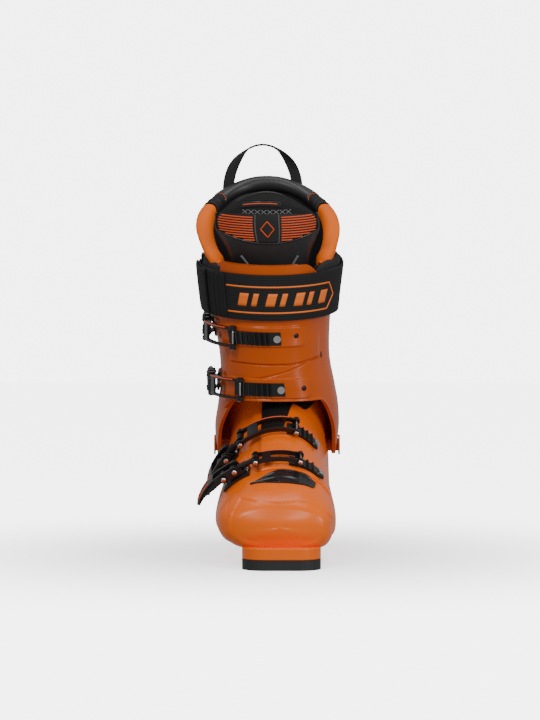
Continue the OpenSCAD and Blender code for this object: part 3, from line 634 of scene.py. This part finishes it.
def box_distance(x, v, x0, x1, v0, v1, r):
    """Signed distance to a rounded rectangle, negative inside."""
    qx = np.abs(x - (x0 + x1) / 2) - (x1 - x0) / 2 + r
    qv = np.abs(v - (v0 + v1) / 2) - (v1 - v0) / 2 + r
    return np.hypot(np.maximum(qx, 0), np.maximum(qv, 0)) + np.minimum(np.maximum(qx, qv), 0) - r


def cuff_features(s, th, p):
    x, v = p[..., 0] - SHIFT_X, front_mm(s)
    facing = (th > -54) & (th < 90)
    d = np.zeros_like(s)
    # Raised panels under the two ladders, round at their medial ends
    for s0, x1, up in ((4.5, 21, 1.5), (3.0, 26.5, 1.0)):
        c = front_mm(s0) + up
        d += 1.3 * ease(0.7, -0.7, box_distance(x, v, -90, x1, c - 9.2, c + 9.2, 4))
    # The overlap's rounded edge, and the slot that runs from it to its round end
    lip = front_mm(3.9) + 4.0 * ease(5, 36, x) + 0.7 * ease(-10, -40, x)
    e = v - lip
    inside = ease(-47.5, -44.5, x) * ease(36, 33, x)
    d += 0.8 * ease(-0.5, 0.6, e) * inside * ease(26, 14, e)
    d -= 1.2 * np.clip(1 - np.abs(e + 0.8) / 1.1, 0, 1) * inside
    low = lip - 13.5 * ease(38, -30, x) - 0.8
    d -= 1.1 * np.clip(1 - np.abs(v - low) / 1.1, 0, 1) * ease(-33, -24, x) * ease(36, 34, x)
    # A raised rim along the lower edge
    d = np.where(facing, d, 0)
    d += 0.7 * ease(0.16, 0.04, s - cuff_low(th)) * ease(70, 40, front(th))
    return d


def cuff():
    nu, nv = 560, 300
    th = np.linspace(CUFF_FROM, CUFF_TO, nu)[:, None] + np.zeros((1, nv))
    s = lerp(cuff_low(th), cuff_top(th), np.linspace(0, 1, nv)[None, :])
    base = at(CUFF, s, th, cuff_out(th))
    out = base + normals(base) * cuff_features(s, th, base)[..., None]
    inn = at(CUFF, s, th, cuff_out(th) - 3.5)
    ob = sheet_piece("cuff_skin", out, inn, [CUFF_ORANGE], edge=0.0012)
    return put(ob, "cuff_body", "cuff_orange", "cuff")


def cuff_th(x, s):
    """The angle on the cuff's front at a distance x from the lugs' centreline."""
    t = np.linspace(-80, 80, 1601)
    return float(np.interp(x, at(CUFF, s, t, cuff_out(t))[:, 0] - SHIFT_X, t))


cuff()
# Painted shade: dark discs on the cuff's face where its spare holes and slot are, in place of the shade
# inside them
holes = []
for s, x, rx, rz in ((4.55, 13.5, 2.4, 2.4), (3.05, 20.5, 2.4, 2.4), (4.03, 37.0, 1.3, 3.0)):
    t = cuff_th(x, s)
    holes.append(disc(CUFF, s, t, cuff_out(t) + (1.3 if rx > 2 else 0.1), (rx, rz), 0.8))
hole_shade_discs("cuff_spare_holes", holes, PAINTED_HOLE_SHADE, "cuff_body", "seal_black")

# ---- Liner --------------------------------------------------------------------------------
def collar_top(th):
    return 6.05 - 1.0 * (1 - ease(92, 180, front(th))) - 1.3 * (1 - ease(46, 106, front(th)))


def liner_top(th):
    return collar_top(th) - 0.5 * (1 - ease(118, 134, front(th)))


def clear_of_ankle(st, s, th, d, r):
    """The lowest s at and over the given one where a loft's point is r from the cuff hinge."""
    s = np.broadcast_to(s, np.shape(th)).astype(float).copy()
    for _ in range(90):
        p = at(st, s, th, d)
        near = np.hypot(p[..., 1] - PIVOT_Y, p[..., 2] - PIVOT_Z) < r
        if not near.any():
            break
        s = np.where(near, s + 0.02, s)
    return s


def over_ankle(th, *depths):
    """Lower limit in s that holds every one of the given depths clear of the ankle's cut."""
    return np.maximum(*(clear_of_ankle(LINER, 0.0, th, d, 102) for d in depths))


def liner_body():
    nu, nv = 240, 70
    v = np.linspace(0, 1, nv)[None, :]
    # The front edges lap over the tongue low down and fall back under the collar's ends
    u = np.linspace(0, 1, nu)[:, None]
    lead = 58 - 31 * ease(0.93, 0.80, v)
    th = lead + (360 - 2 * lead) * u
    low = over_ankle(th[:, :1], 0.0, -7.0)
    top = liner_top(th[:, -1:]) - 0.02
    s = lerp(low, top, v)
    f = front(th)
    tuck = 1.2 * ease(60, 44, f)
    puff = 0.9 * np.sin(np.pi * np.clip(v, 0, 1)) * ease(100, 140, f)
    swell = bulge(th) * ease(0.70, 0.97, v)
    out = at(LINER, s, th, -0.4 - tuck + swell)
    inn = at(LINER, s, th, -7 + 1.6 * ease(60, 30, f) - puff + swell)
    mats = np.where((f[:-1, :-1] < 112), 1, 0)
    ob = sheet_piece("liner_upper_skin", out, inn, [BLACK_SKIN, MESH_CLOTH], edge=0.0018, outer_mats=mats)
    padding(ob, "liner_upper")


def bulge(th):
    """How far the roll swells outwards over the cuff's edge, towards its front ends."""
    return 6.5 * bump(front(th), 66, 40)


def roll(th, phi, k=1.0, lift=0.0):
    """Points of the padded roll round the liner's top, k times its thickness, phi round it."""
    mid = collar_top(th) - 0.27
    pace = np.linalg.norm(at(LINER, mid + 0.1, th, 0) - at(LINER, mid - 0.1, th, 0), axis=-1) / 0.2
    cs, sn = np.cos(phi), np.sin(phi)
    d = -6.4 + bulge(th) + (7.4 + lift) * k * np.sign(cs) * np.abs(cs) ** 0.8
    return at(LINER, mid + (7.0 + lift) / pace * k * np.sign(sn) * np.abs(sn) ** 0.85, th, d)


def padding(ob, cad, slot="liner_black", body="cuff_body"):
    put(ob, body, slot, cad)


def collar(name, a, b, mat, ends=2.0, nu=120):
    """A length of the roll, closed at both ends: round over the given mm, or only eased at 2."""
    th = np.linspace(a, b, nu)[:, None] + np.zeros((1, 44))
    run = run_along(at(LINER, collar_top(th[:, 0]) - 0.27, th[:, 0], -6))
    edge = np.clip(np.minimum(run, run[-1] - run) / ends, 0, 1)
    round_end = np.sqrt(1 - (1 - edge) ** 2) * 0.9 + 0.1
    k = round_end if ends > 3 else 0.86 + 0.14 * edge ** 0.5
    p = roll(th, 2 * np.pi * np.arange(44)[None, :] / 44, k[:, None])
    pad = mat is PAD_ORANGE
    padding(loft_tube(name, p, mat), "collar_pads" if pad else "liner_upper",
            "pad_orange" if pad else "liner_black")


def flank(name, a, b, mid, half):
    """The liner's side where it swells over the cuff's edge, inside the strap."""
    th = np.linspace(a, b, 50)[:, None] + np.zeros((1, 24))
    phi = 2 * np.pi * np.arange(24)[None, :] / 24
    u = np.linspace(-1, 1, 50)[:, None]
    k = np.sqrt(np.clip(1 - np.abs(u) ** 3, 0.01, 1))
    ripple = 0.25 * np.sin(9 * phi)
    p = at(CUFF, mid + half * k * np.sin(phi), th, -1.2 + (5.2 + ripple) * k * np.cos(phi))
    padding(loft_tube(name, p, MESH_CLOTH), "liner_upper")


def collar_line(th, lo, hi, lift):
    """A line over the roll at an angle th, from phi lo to hi in degrees."""
    return roll(np.full(60, float(th)), np.radians(np.linspace(lo, hi, 60)), 1.0, lift)


liner_body()
collar("collar_back", 133, 227, BLACK_PLATE)
collar("collar_panel_medial", 117.5, 134, RIM_CLOTH, nu=40)
collar("collar_panel_lateral", 226, 242.5, RIM_CLOTH, nu=40)
collar("collar_pad_medial", 57, 118.5, PAD_ORANGE, ends=6.0)
collar("collar_pad_lateral", 241.5, 303, PAD_ORANGE, ends=6.0)
flank("liner_flank_medial", 44, 112, 5.83, 0.22)
flank("liner_flank_lateral", -44, -112, 5.80, 0.19)


def dashes(path, length, gap):
    """Cuts a path into stitches."""
    path = np.asarray(path, float)
    run = run_along(path)
    out = []
    x = gap / 2
    while x + length < run[-1]:
        k = np.linspace(x, x + length, 3)
        out.append(np.stack([np.interp(k, run, path[:, c]) for c in range(3)], -1))
        x += length + gap
    return out


seams = []
for t in (132.4, 227.6):
    seams += dashes(collar_line(t, -10, 178, 0.15), 1.7, 1.1)
tubes("collar_stitching", seams, 0.36, ORANGE_THREAD, up=(0.2, -0.4, 1), sides=6)
tubes("collar_welts", [collar_line(t, -20, 185, -0.1) for t in (118, 124, 236, 242)], 0.5,
      BLACK_SKIN, "cuff_body", "liner_black", up=(0.2, -0.4, 1), sides=6)


def tongue_out(s):
    return -8.5 + 9.5 * ease(3.4, 5.6, s)


def tongue_top(th):
    return 6.5 - 1.3 * (np.asarray(th) / 50) ** 2


def plate_edge(th):
    return 4.42 + 0.42 * np.clip(np.abs(th) / 44, 0, 1.1) ** 2


def tongue_thin(s, th):
    """How much thinner the tongue is towards its sides and its top."""
    return 2.6 * ease(38, 50, np.abs(th)) + 2.4 * ease(0.3, 0.0, tongue_top(th) - s)


def on_tongue(s, th, lift):
    """Points at a height over the tongue's face, which has a raised rim round its top."""
    th = np.asarray(th, float)
    s = np.asarray(s, float) + 0 * th
    rim = 1.0 * bump(s, 6.05 - 0.4 * ease(10, 46, np.abs(th)), 0.42)
    return at(LINER, s, th, tongue_out(s) - 0.5 * tongue_thin(s, th) + rim + lift)


def tongue():
    nu, nv = 120, 150
    th = np.linspace(-50, 50, nu)[:, None] + np.zeros((1, nv))
    low = over_ankle(th[:, :1], -8.5, -15.5)
    s = lerp(low, tongue_top(th), np.linspace(0, 1, nv)[None, :])
    out = on_tongue(s, th, 0)
    inn = at(LINER, s, th, tongue_out(s) - 7 + 0.6 * tongue_thin(s, th))
    ss, tt = s[:-1, :-1], np.abs(th[:-1, :-1])
    rim_low = 5.66 - 0.1 * ease(10, 46, tt)
    mats = np.where((ss > rim_low) | (tt > 44), 1, 0)
    mats = np.where(ss < plate_edge(tt), 2, mats)
    ob = sheet_piece("liner_tongue_skin", out, inn, [BLACK_SKIN, RIM_CLOTH, BLACK_PLATE], edge=0.002,
                     outer_mats=mats)
    padding(ob, "liner_tongue", "tongue_black")


tongue()
# The stiff plate over the tongue's lower part, with its welt
th = np.linspace(-47, 47, 90)[:, None] + np.zeros((1, 30))
s = lerp(2.4, plate_edge(th), np.linspace(0, 1, 30)[None, :])
ob = sheet_piece("tongue_plate", on_tongue(s, th, 1.0), on_tongue(s, th, -0.6), [BLACK_PLATE], edge=0.0006)
put(ob, "cuff_body", "tongue_black")
t = np.linspace(-46, 46, 70)
tubes("tongue_plate_welt", [on_tongue(plate_edge(t) + 0.02, t, 0.8)], 1.0, BLACK_GLOSS, "cuff_body",
      "tongue_black")
# Painted highlights: grey strips low down, either side of the plate, where its bevelled edges catch the
# light
bevels = []
for a, b in ((-30, -17), (30, 19)):
    t = np.linspace(a, b, 16)
    k = np.linspace(0, 1, 16)
    bevels.append(on_tongue(3.95 - 0.62 * k, t, 1.0))
tubes("tongue_bevels", bevels, 1.3, GREY_PRINT_AND_HIGHLIGHT, "cuff_body", "tongue_black", flat=0.5)
# Raised orange ribs left and right of the middle band
rows = []
for k in range(10):
    s0 = 5.52 - 0.105 * k
    for side in (-1, 1):
        t = np.linspace(11.5, 43.0 - 1.2 * max(0, 1 - k / 2.0), 60)
        keep = t[(s0 > plate_edge(t) + 0.05) & (s0 < tongue_top(t) - 0.16)]
        if len(keep) > 4:
            rows.append(on_tongue(s0 + 0 * keep, side * keep, 0.15))
tubes("tongue_ribs", rows, 0.62, ORANGE_LINE)
# The middle band's borders and a plain outlined mark
v = np.linspace(4.46, 5.62, 30)
tubes("tongue_band", [on_tongue(v, np.full(30, t), 0.1) for t in (-9.6, 9.6)], 0.55, GREY_PRINT_AND_HIGHLIGHT,
      "cuff_body", "tongue_black")
mark = []
for k in range(4):
    corners = ((0, 0.33), (5.4, 0), (0, -0.33), (-5.4, 0))
    (ta, sa), (tb, sb) = corners[k], corners[(k + 1) % 4]
    n = np.linspace(0, 1, 10)
    mark.append(on_tongue(5.03 + lerp(sa, sb, n), lerp(ta, tb, n), 0.25))
tubes("tongue_mark", mark, 0.5, ORANGE_LINE)
# Crossed stitches under the rim
cross = []
for k in range(8):
    t = -18.2 + 5.2 * k
    for lo, hi in ((5.66, 5.84), (5.84, 5.66)):
        cross.append(on_tongue(np.linspace(lo, hi, 6), np.linspace(t - 2.2, t + 2.2, 6), 0.25))
tubes("tongue_cross_stitches", cross, 0.32, GREY_THREAD, "cuff_body", "tongue_black", sides=6)
# Small plain tab sewn to the rim
def tab_droop(th):
    return 0.1 * (np.abs(th + 2) / 20) ** 2


th = np.linspace(-22, 12, 40)[:, None] + np.zeros((1, 10))
s = np.linspace(6.0, 6.2, 10)[None, :] - tab_droop(th)
ob = sheet_piece("tongue_tab", on_tongue(s, th, 1.3), on_tongue(s, th, -0.4), [BLACK_GLOSS], edge=0.0006)
put(ob, "cuff_body", "tongue_black")
t = np.linspace(-20, 9, 40)
tubes("tongue_tab_line", [on_tongue(6.12 - tab_droop(t), t, 1.3)], 0.45, ORANGE_LINE)
# Bound edges down both sides
v = np.linspace(3.0, 5.55, 60)
tubes("tongue_binding", [on_tongue(v, np.full(60, t), 0.2) for t in (-46.5, 46.5)], 1.1, BLACK_SKIN,
      "cuff_body", "tongue_black")


def liner_foot():
    """The liner's foot, whose sole lies on the boot board's ramp."""
    nu, nv = 120, 90
    th = np.linspace(0, 360, nu, endpoint=False)[:, None] + np.zeros((1, nv))
    s = np.linspace(2.9, 13.7, nv)[None, :] + np.zeros((nu, 1))
    out = at(SHELL, s, th, -5.9)
    inn = at(SHELL, np.maximum(s, 3.3), th, -12.4)
    ramp = math.tan(math.radians(3))
    for p, h in ((out, 6.5), (inn, 10.2)):
        p[..., 2] = np.maximum(p[..., 2], 23 + h + ramp * p[..., 1])
    ob = sheet_piece("liner_foot_skin", out, inn, [FOAM], closed=True, edge=0)
    padding(ob, "liner_foot", body="shell_body")


liner_foot()


def insole():
    """The footbed, dished a little and rounded at its edge."""
    nu, nv = 90, 25
    y = np.linspace(-98, 112, nu)
    k = np.interp(y, [-98, -92, -80, -60, -30, 10, 50, 90, 106, 112],
                  [0.16, 0.45, 0.75, 0.95, 1, 0.86, 0.8, 0.78, 0.5, 0.12])
    u = np.linspace(-1, 1, nv)
    side = np.where(u < 0, 36.0, 30.0)
    x = u[None, :] * side[None, :] * k[:, None] + SHIFT_X
    ramp = 23 + math.tan(math.radians(3)) * y
    rise = 0.9 * np.abs(u[None, :]) ** 3
    edge = 1.2 * np.abs(u[None, :]) ** 8
    out, inn = (
        np.stack([x, y[:, None] + 0 * x, ramp[:, None] + h], -1)
        for h in (12.2 + rise - edge, 10.8 + 0 * rise)
    )
    ob = sheet_piece("insole_skin", out, inn, [MESH_CLOTH], edge=0.0004)
    padding(ob, "insole", "insole_foam", "shell_body")


insole()


# ---- Webbing ------------------------------------------------------------------------------
def pull_loop():
    n = 110
    a = np.radians(180 - 180 * np.arange(n + 1) / n)
    k = np.arange(n + 1) / n
    y = 94.8 + 4 * ease(0.2, 0.8, k) + 4 * np.sin(a)
    mids = np.stack([-17 + 33 * np.cos(a), y, 340 + 44 * np.sin(a)], -1)
    turn = np.radians(90 * ease(0.1, 0.42, k) - 90 * ease(0.58, 0.9, k))
    wide = np.stack([np.cos(turn), -np.sin(turn), 0 * turn], -1)
    mids = np.concatenate([[[-50, 95.4, 326]], mids, [[16, 99.4, 326]]])
    wide = np.concatenate([[[1.0, 0, 0]], wide, [[1.0, 0, 0]]])
    mids[:, 0] += SHIFT_X
    along = np.gradient(mids, axis=0)
    up = np.cross(along, wide)
    up /= np.linalg.norm(up, axis=1, keepdims=True)
    c = np.linspace(-1, 1, 9)
    crown = (0.9 - 0.35 * np.abs(c) ** 3)[None, :, None]
    flat = mids[:, None] + wide[:, None] * 5.4 * c[None, :, None]
    o, i = flat + up[:, None] * crown, flat - up[:, None] * crown
    ob = sheet_piece("pull_loop_webbing", o, i, [WEB_LOOP], edge=0.0003)
    put(ob, "cuff_body", "webbing_black", "pull_loop")


pull_loop()
STRAP0, STRAP1 = 4.88, 5.86


def strap_band(name, a, b, lo, hi, nu, inset, rests, *cad):
    """A length of strap from angle a to b, between two distances from the cuff, crowned."""
    nv = 26
    th = np.linspace(a, b, nu)[:, None] + np.zeros((1, nv))
    v = np.linspace(0, 1, nv)[None, :]
    s = lerp(STRAP0 + inset, STRAP1 - inset, v) + 0 * th
    crown = 0.35 * (1 - np.abs(2 * v - 1) ** 6) - 0.35
    out = at(CUFF, s, th, hi + crown + 0 * th)
    inn = at(CUFF, s, th, lo - crown * 0.6 + 0 * th)
    ob = sheet_piece(name, out, inn, [WEB_BLACK], edge=0.0006)
    run = lengths(0.5 * (out + inn))
    put(ob, "cuff_body", "webbing_black", *cad)


strap_band("power_strap_webbing", -96, 146, 4.75, 7.6, 240, 0, "cuff_skin", "power_strap")
strap_band("power_strap_tail", -95.5, -62, 7.7, 10.4, 40, 0.02, "power_strap_webbing", "power_strap")
strap_band("strap_anchor_webbing", -138, -104, 0.6, 3.4, 40, 0, "cuff_skin", "strap_anchor")
strap_band("power_strap_end_fold", -58, -39, 7.65, 9.2, 30, 0.02, "power_strap_webbing")


def on_strap(s, th, lift=0.0):
    return at(CUFF, s, th, 7.55 + lift + 0 * np.asarray(th))


frame_lines = []
t = np.linspace(-38, 52.5, 90)
for s0 in (5.60, 5.05):
    frame_lines.append(on_strap(s0 + 0 * t, t))
t = np.concatenate([np.linspace(52.5, 60, 14), np.linspace(60, 52.5, 14)])
frame_lines.append(on_strap(np.linspace(5.60, 5.05, 28), t))
tubes("strap_print_frame", frame_lines, 0.85, ORANGE_PRINT, flat=0.45)


def strap_bars():
    """Seven plain slanted bars, wide and narrow by turns."""
    verts, faces = [], []
    nu, nv = 9, 5
    v = np.linspace(0, 1, nv)[None, :]
    for k in range(7):
        u = np.linspace(0, 7.6 if k % 2 == 0 else 4.4, nu)[:, None]
        th = -28 + 11.6 * k + u + 2.6 * v
        s = lerp(5.19, 5.46, v) + 0 * u
        faces += wall_faces(nu, nv, base=2 * nu * nv * k)
        verts += [on_strap(s, th, lift).reshape(-1, 3) for lift in (0.3, -0.5)]
    ob = add_mesh("strap_print_bars", np.concatenate(verts) * MM, faces, [ORANGE_PRINT])
    put(ob, "cuff_body", "pad_orange")


strap_bars()
v = np.linspace(STRAP0 + 0.04, STRAP1 - 0.04, 20)
tubes("strap_fold_ribs", [at(CUFF, v, np.full(20, t), 9.1) for t in (-55.5, -50.5, -45.5, -41)], 0.7,
      WEB_BLACK, "cuff_body", "webbing_black", flat=0.7)


# ---- Buckles ------------------------------------------------------------------------------
#  Stations, s, angle of pin A, heights of A and D, lever radius, lengths A-C and C-D
BUCKLES = {
    "toe": (SHELL, 5.0, -38, 9, 8.6, 46, 21, 41),
    "instep": (SHELL, 6.85, -51, 9, 8.6, 60, 22, 58),
    "shin": (CUFF, 3.0, -92, 9, 9.2, 260, 21, 56),
    "calf": (CUFF, 4.5, -96, 9, 9.2, 260, 21, 60),
}


def flat(q, th, d):
    """A point of ring q in its own plane."""
    c, n = math.cos(math.radians(th)), math.sin(math.radians(th))
    long = math.hypot(q[0] - q[2], q[1] - q[3])
    half = ((1 - q[10]) * long if c >= 0 else q[10] * long) + d
    ex = q[7] if c >= 0 else (q[8] if n < 0 else q[9])
    side = -(q[5] + d) if n < 0 else q[6] + d
    return np.array([
        q[4] + side * abs(n) ** (2 / ex), (half if c >= 0 else -half) * abs(c) ** (2 / ex)
    ])


def walk(q, th, d, length, n=8):
    for k in range(n, 0, -1):
        step = length / k
        th += step / np.linalg.norm(flat(q, th + 0.5, d) - flat(q, th - 0.5, d))
        length -= step
    return th


def from_plane(q, p, z):
    """A point of a buckle's plane, at a distance z along its pins, in mm in the row frame."""
    e = np.array([q[0] - q[2], q[1] - q[3]])
    e /= np.linalg.norm(e)
    m = np.array([q[2], q[3]]) + q[10] * np.array([q[0] - q[2], q[1] - q[3]])
    return np.array([p[0] + SHIFT_X, m[0] + e[0] * p[1] - e[1] * z, m[1] + e[1] * p[1] + e[0] * z])


class Buckle:
    def __init__(self, name):
        st, s, self.ta, self.ha, self.hd, self.radius, ac, cd = BUCKLES[name]
        self.name = name
        self.q = station(st, np.array([float(s)]))[0]
        self.a = flat(self.q, self.ta, self.ha)
        v = flat(self.q, self.ta + 1, self.ha) - flat(self.q, self.ta - 1, self.ha)
        self.go = v / np.linalg.norm(v)
        self.out = np.array([-self.go[1], self.go[0]])
        self.tc = walk(self.q, self.ta, self.ha, ac)
        self.td = walk(self.q, self.ta, self.ha, ac + cd)

    def lever(self, l, up, z):
        a = l / self.radius * (l - 12) / l if l > 12 else 0.0
        p = self.a - self.go * (12 + (self.radius + up) * math.sin(a) if l > 12 else l)
        p = p + self.out * ((self.radius + up) * math.cos(a) - self.radius if l > 12 else up)
        return from_plane(self.q, p, z)

    def bail(self, k, up, z):
        p = flat(self.q, lerp(self.tc, self.td, k), lerp(self.ha, self.hd, k) + up)
        return from_plane(self.q, p, z)


def lever_skin(b):
    """The lever as drawn and folded: two cheeks, and a crowned plate that runs out round."""
    ls = np.concatenate([np.linspace(20, 41, 26), 41 + 6.4 * np.sin(np.linspace(0, np.pi / 2, 19))[1:]])
    wide = 9 * np.sqrt(np.clip(1 - (np.maximum(ls - 41, 0) / 6.6) ** 2, 0.02, 1))
    c = np.linspace(-1, 1, 17)
    top, low = np.zeros((len(ls), 17, 3)), np.zeros((len(ls), 17, 3))
    for i, l in enumerate(ls):
        for j, k in enumerate(c):
            dish = 0.5 * (1 - k * k) - 0.9 * max(0, 1 - abs(k) / 0.55) ** 0.5 * (1 if 27 < l < 42 else 0)
            top[i, j] = b.lever(l, 4.4 + dish, k * wide[i])
            low[i, j] = b.lever(l, 2.0, k * wide[i])
    ob = sheet_piece(b.name + "_lever_plate", top, low, [BLACK_METAL], edge=0.0005)
    put(ob, b.name + "_lever_body", "magnesium_black", b.name + "_buckle_lever")
    # Cheek outline in the buckle's plane
    a, pb = b.a, b.a - 12 * b.go - 0.5 * b.out
    for z0, z1, label in ((6.4, 9.0, "upper"), (-9.0, -6.4, "lower")):
        pts = []
        for ang in np.linspace(80, -80, 12):
            r = math.radians(ang)
            pts.append(from_plane(b.q, a + 4.4 * (math.cos(r) * b.go + math.sin(r) * b.out), 0))
        for ang in np.linspace(-80, -120, 5):
            r = math.radians(ang)
            pts.append(from_plane(b.q, pb + 4.2 * (math.cos(r) * b.go + math.sin(r) * b.out), 0))
        for l in np.linspace(16, 43, 24):
            pts.append(b.lever(l, lerp(-2.8, 1.8, float(ease(22, 43, l))), 0))
        for l in np.linspace(44, 2, 36):
            pts.append(b.lever(l, 4.35, 0))
        pts = np.array(pts)
        side = from_plane(b.q, np.zeros(2), 1) - from_plane(b.q, np.zeros(2), 0)
        m = len(pts)
        verts = np.concatenate([pts + side * z0, pts + side * z1])
        faces = [tuple(range(m))[::-1], tuple(range(m, 2 * m))]
        faces += [(i, (i + 1) % m, m + (i + 1) % m, m + i) for i in range(m)]
        ob = solid(b.name + "_lever_cheek_" + label, verts, faces, [BLACK_METAL])
        for f in ob.data.polygons:
            f.use_smooth = False
        round_edges(ob, 0.0004, 2, 40)
        put(ob, b.name + "_lever_body", "magnesium_black", b.name + "_buckle_lever")


for name in BUCKLES:
    b = Buckle(name)
    up = from_plane(b.q, b.out, 0) - from_plane(b.q, np.zeros(2), 0)
    lever_skin(b)
    # An orange line in a U round the lever's end
    ls = np.linspace(25, 40, 16)
    arc = np.radians(np.linspace(90, -90, 15))
    u_line = [b.lever(l, 4.7, 5.6) for l in ls]
    u_line += [b.lever(40 + 4.6 * math.cos(v), 4.8, 5.6 * math.sin(v)) for v in arc]
    u_line += [b.lever(l, 4.7, -5.6) for l in ls[::-1]]
    tubes(name + "_lever_line", [u_line], 0.65, ORANGE_LINE, name + "_lever_body", "pad_orange", up=up,
          flat=0.7)
    # A bright wire over pin D, and the pins' swaged ends with their painted middles
    d_pin = flat(b.q, b.td, b.hd)
    over = d_pin + 1.35 * np.array([0.15, 1.0])
    wire = [from_plane(b.q, over, z) for z in np.linspace(-6.6, 6.6, 8)]
    tubes(name + "_pin_wire", [wire], 0.8, STEEL, name + "_bail_body", "steel", up=(0, -1, 0.1))
    ends_bail = [flat(b.q, b.tc, b.ha), d_pin]
    ends_lever = [b.a, b.a - 12 * b.go - 0.5 * b.out]
    for body, pts in (("bail", ends_bail), ("lever", ends_lever)):
        for r, z0, z1, mat, slot, label in ((2.3, 10.6, 11.35, STEEL, "steel", "swage"),
                                            (1.4, 11.2, 11.6, ORANGE_LINE, "pad_orange", "dot")):
            caps = [[from_plane(b.q, p, z) for z in np.linspace(z0, z1, 3)] for p in pts]
            tubes(name + "_" + body + "_pin_" + label, caps, r, mat, name + "_" + body + "_body", slot,
                  up=(1, 0, 0), sides=20)
    # An orange line along the upper arm of the bail
    line = [b.bail(k, 1.9, -8.6) for k in np.linspace(0.10, 0.86, 24)]
    tubes(name + "_bail_line", [line], 0.6, ORANGE_LINE, name + "_bail_body",
          "pad_orange", up=up, flat=0.7)


# ---- CAD pieces that keep their shape -----------------------------------------------------
def dress(names, mat, edge=0.0004, segments=2):
    for name in names:
        ob = nodes[name]
        for k in range(max(1, len(ob.material_slots))):
            if ob.material_slots:
                ob.material_slots[k].material = mat
            else:
                ob.data.materials.append(mat)
        if edge:
            round_edges(ob, edge, segments, 30)


dress(["toe_sole", "heel_sole"], BLACK_RUBBER, 0.0008)
dress(["toe_sole_screws", "heel_sole_screws", "spine_bolts", "strap_screws"], STEEL, 0.0003)
dress(["boot_board"], BOARD, 0)
dress(["rear_spoiler"], BLACK_SATIN, 0.0006)
dress(["cuff_pivots"], CUFF_ORANGE, 0.0006)
dress(["strap_ring"], BLACK_SATIN, 0.0005)
for b in BUCKLES:
    dress([b + "_buckle_base", b + "_ladder"], BLACK_SATIN, 0.0003)
    dress([b + "_buckle_bail", b + "_buckle_barrel"], BLACK_METAL, 0.0004)
    dress([b + "_buckle_lever_pins"], BLACK_METAL, 0.0002)
    dress([b + "_buckle_bail_pins"], BLACK_METAL, 0.0003)
    dress([b + "_rivets"], STEEL, 0.0003)


# ---- Stage, light and camera --------------------------------------------------------------
def stage():
    r = 7.0
    for name, pts in (
        ("floor", [(-r, -r, 0), (r, -r, 0), (r, r, 0), (-r, r, 0)]),
        ("backdrop", [(-r, 5, -1), (r, 5, -1), (r, 5, 8), (-r, 5, 8)]),
    ):
        me = bpy.data.meshes.new(name)
        me.from_pydata(pts, [], [(0, 1, 2, 3)])
        ob = bpy.data.objects.new(name, me)
        bpy.context.scene.collection.objects.link(ob)
        m = Mat(name, (0.85, 0.85, 0.85, 1), 0.9, Emission_Color=(1, 1, 1, 1), Emission_Strength=5.0)
        if name == "floor":
            # Pale all over; the floor's own glow falls away near the sole, a painted darker patch round
            # the boot, so that the lamps' real shadow of the sole also shows there
            far = m.node("ShaderNodeVectorMath", operation="LENGTH")
            m.link(m.coords("Object"), far.inputs[0])
            glow = m.node("ShaderNodeMapRange", From_Min=0.06, From_Max=0.5, To_Min=1.5, To_Max=4.6)
            glow.interpolation_type = "SMOOTHSTEP"
            m.link(far.outputs["Value"], glow.inputs["Value"])
            m.link(glow.outputs["Result"], m.p.inputs["Emission Strength"])
        me.materials.append(m.m)
        m.m.cycles.emission_sampling = "NONE"
        ob.visible_diffuse = False
        ob.visible_glossy = False


def area(name, loc, target, size, power, size_y=None):
    l = bpy.data.lights.new(name, "AREA")
    l.energy = power
    l.size = size
    if size_y:
        l.shape = "RECTANGLE"
        l.size_y = size_y
    ob = bpy.data.objects.new(name, l)
    ob.location = loc
    ob.rotation_mode = "QUATERNION"
    ob.rotation_quaternion = (Vector(target) - Vector(loc)).to_track_quat("-Z", "Y")
    bpy.context.scene.collection.objects.link(ob)


stage()
world = bpy.data.worlds.new("world")
bpy.context.scene.world = world
world.use_nodes = True
world.node_tree.nodes["Background"].inputs[0].default_value = (1, 1, 1, 1)
world.node_tree.nodes["Background"].inputs[1].default_value = 0.38
MIDDLE = (0, -0.03, 0.19)
area("key", (-0.7, -1.5, 1.5), MIDDLE, 0.6, 13)
area("fill", (1.3, -1.3, 0.8), MIDDLE, 0.5, 7)
area("top", (0, 0.1, 1.8), MIDDLE, 1.0, 8)
area("strip", (0.95, -1.0, 0.45), MIDDLE, 0.07, 2.2, 0.9)
area("high_strip", (0.28, -1.25, 0.95), MIDDLE, 0.35, 2.2, 0.05)

cam = bpy.data.cameras.new("camera")
cam.sensor_width = 36
cam.lens = 130.1
cam.clip_start, cam.clip_end = 0.05, 60
camera = bpy.data.objects.new("camera", cam)
bpy.context.scene.collection.objects.link(camera)
bpy.context.scene.camera = camera
camera.location = (0.0, -2.4025, 0.235)
camera.rotation_mode = "QUATERNION"
camera.rotation_quaternion = (
    Vector((-0.001, -0.1525, 0.183)) - camera.location
).to_track_quat("-Z", "Y")
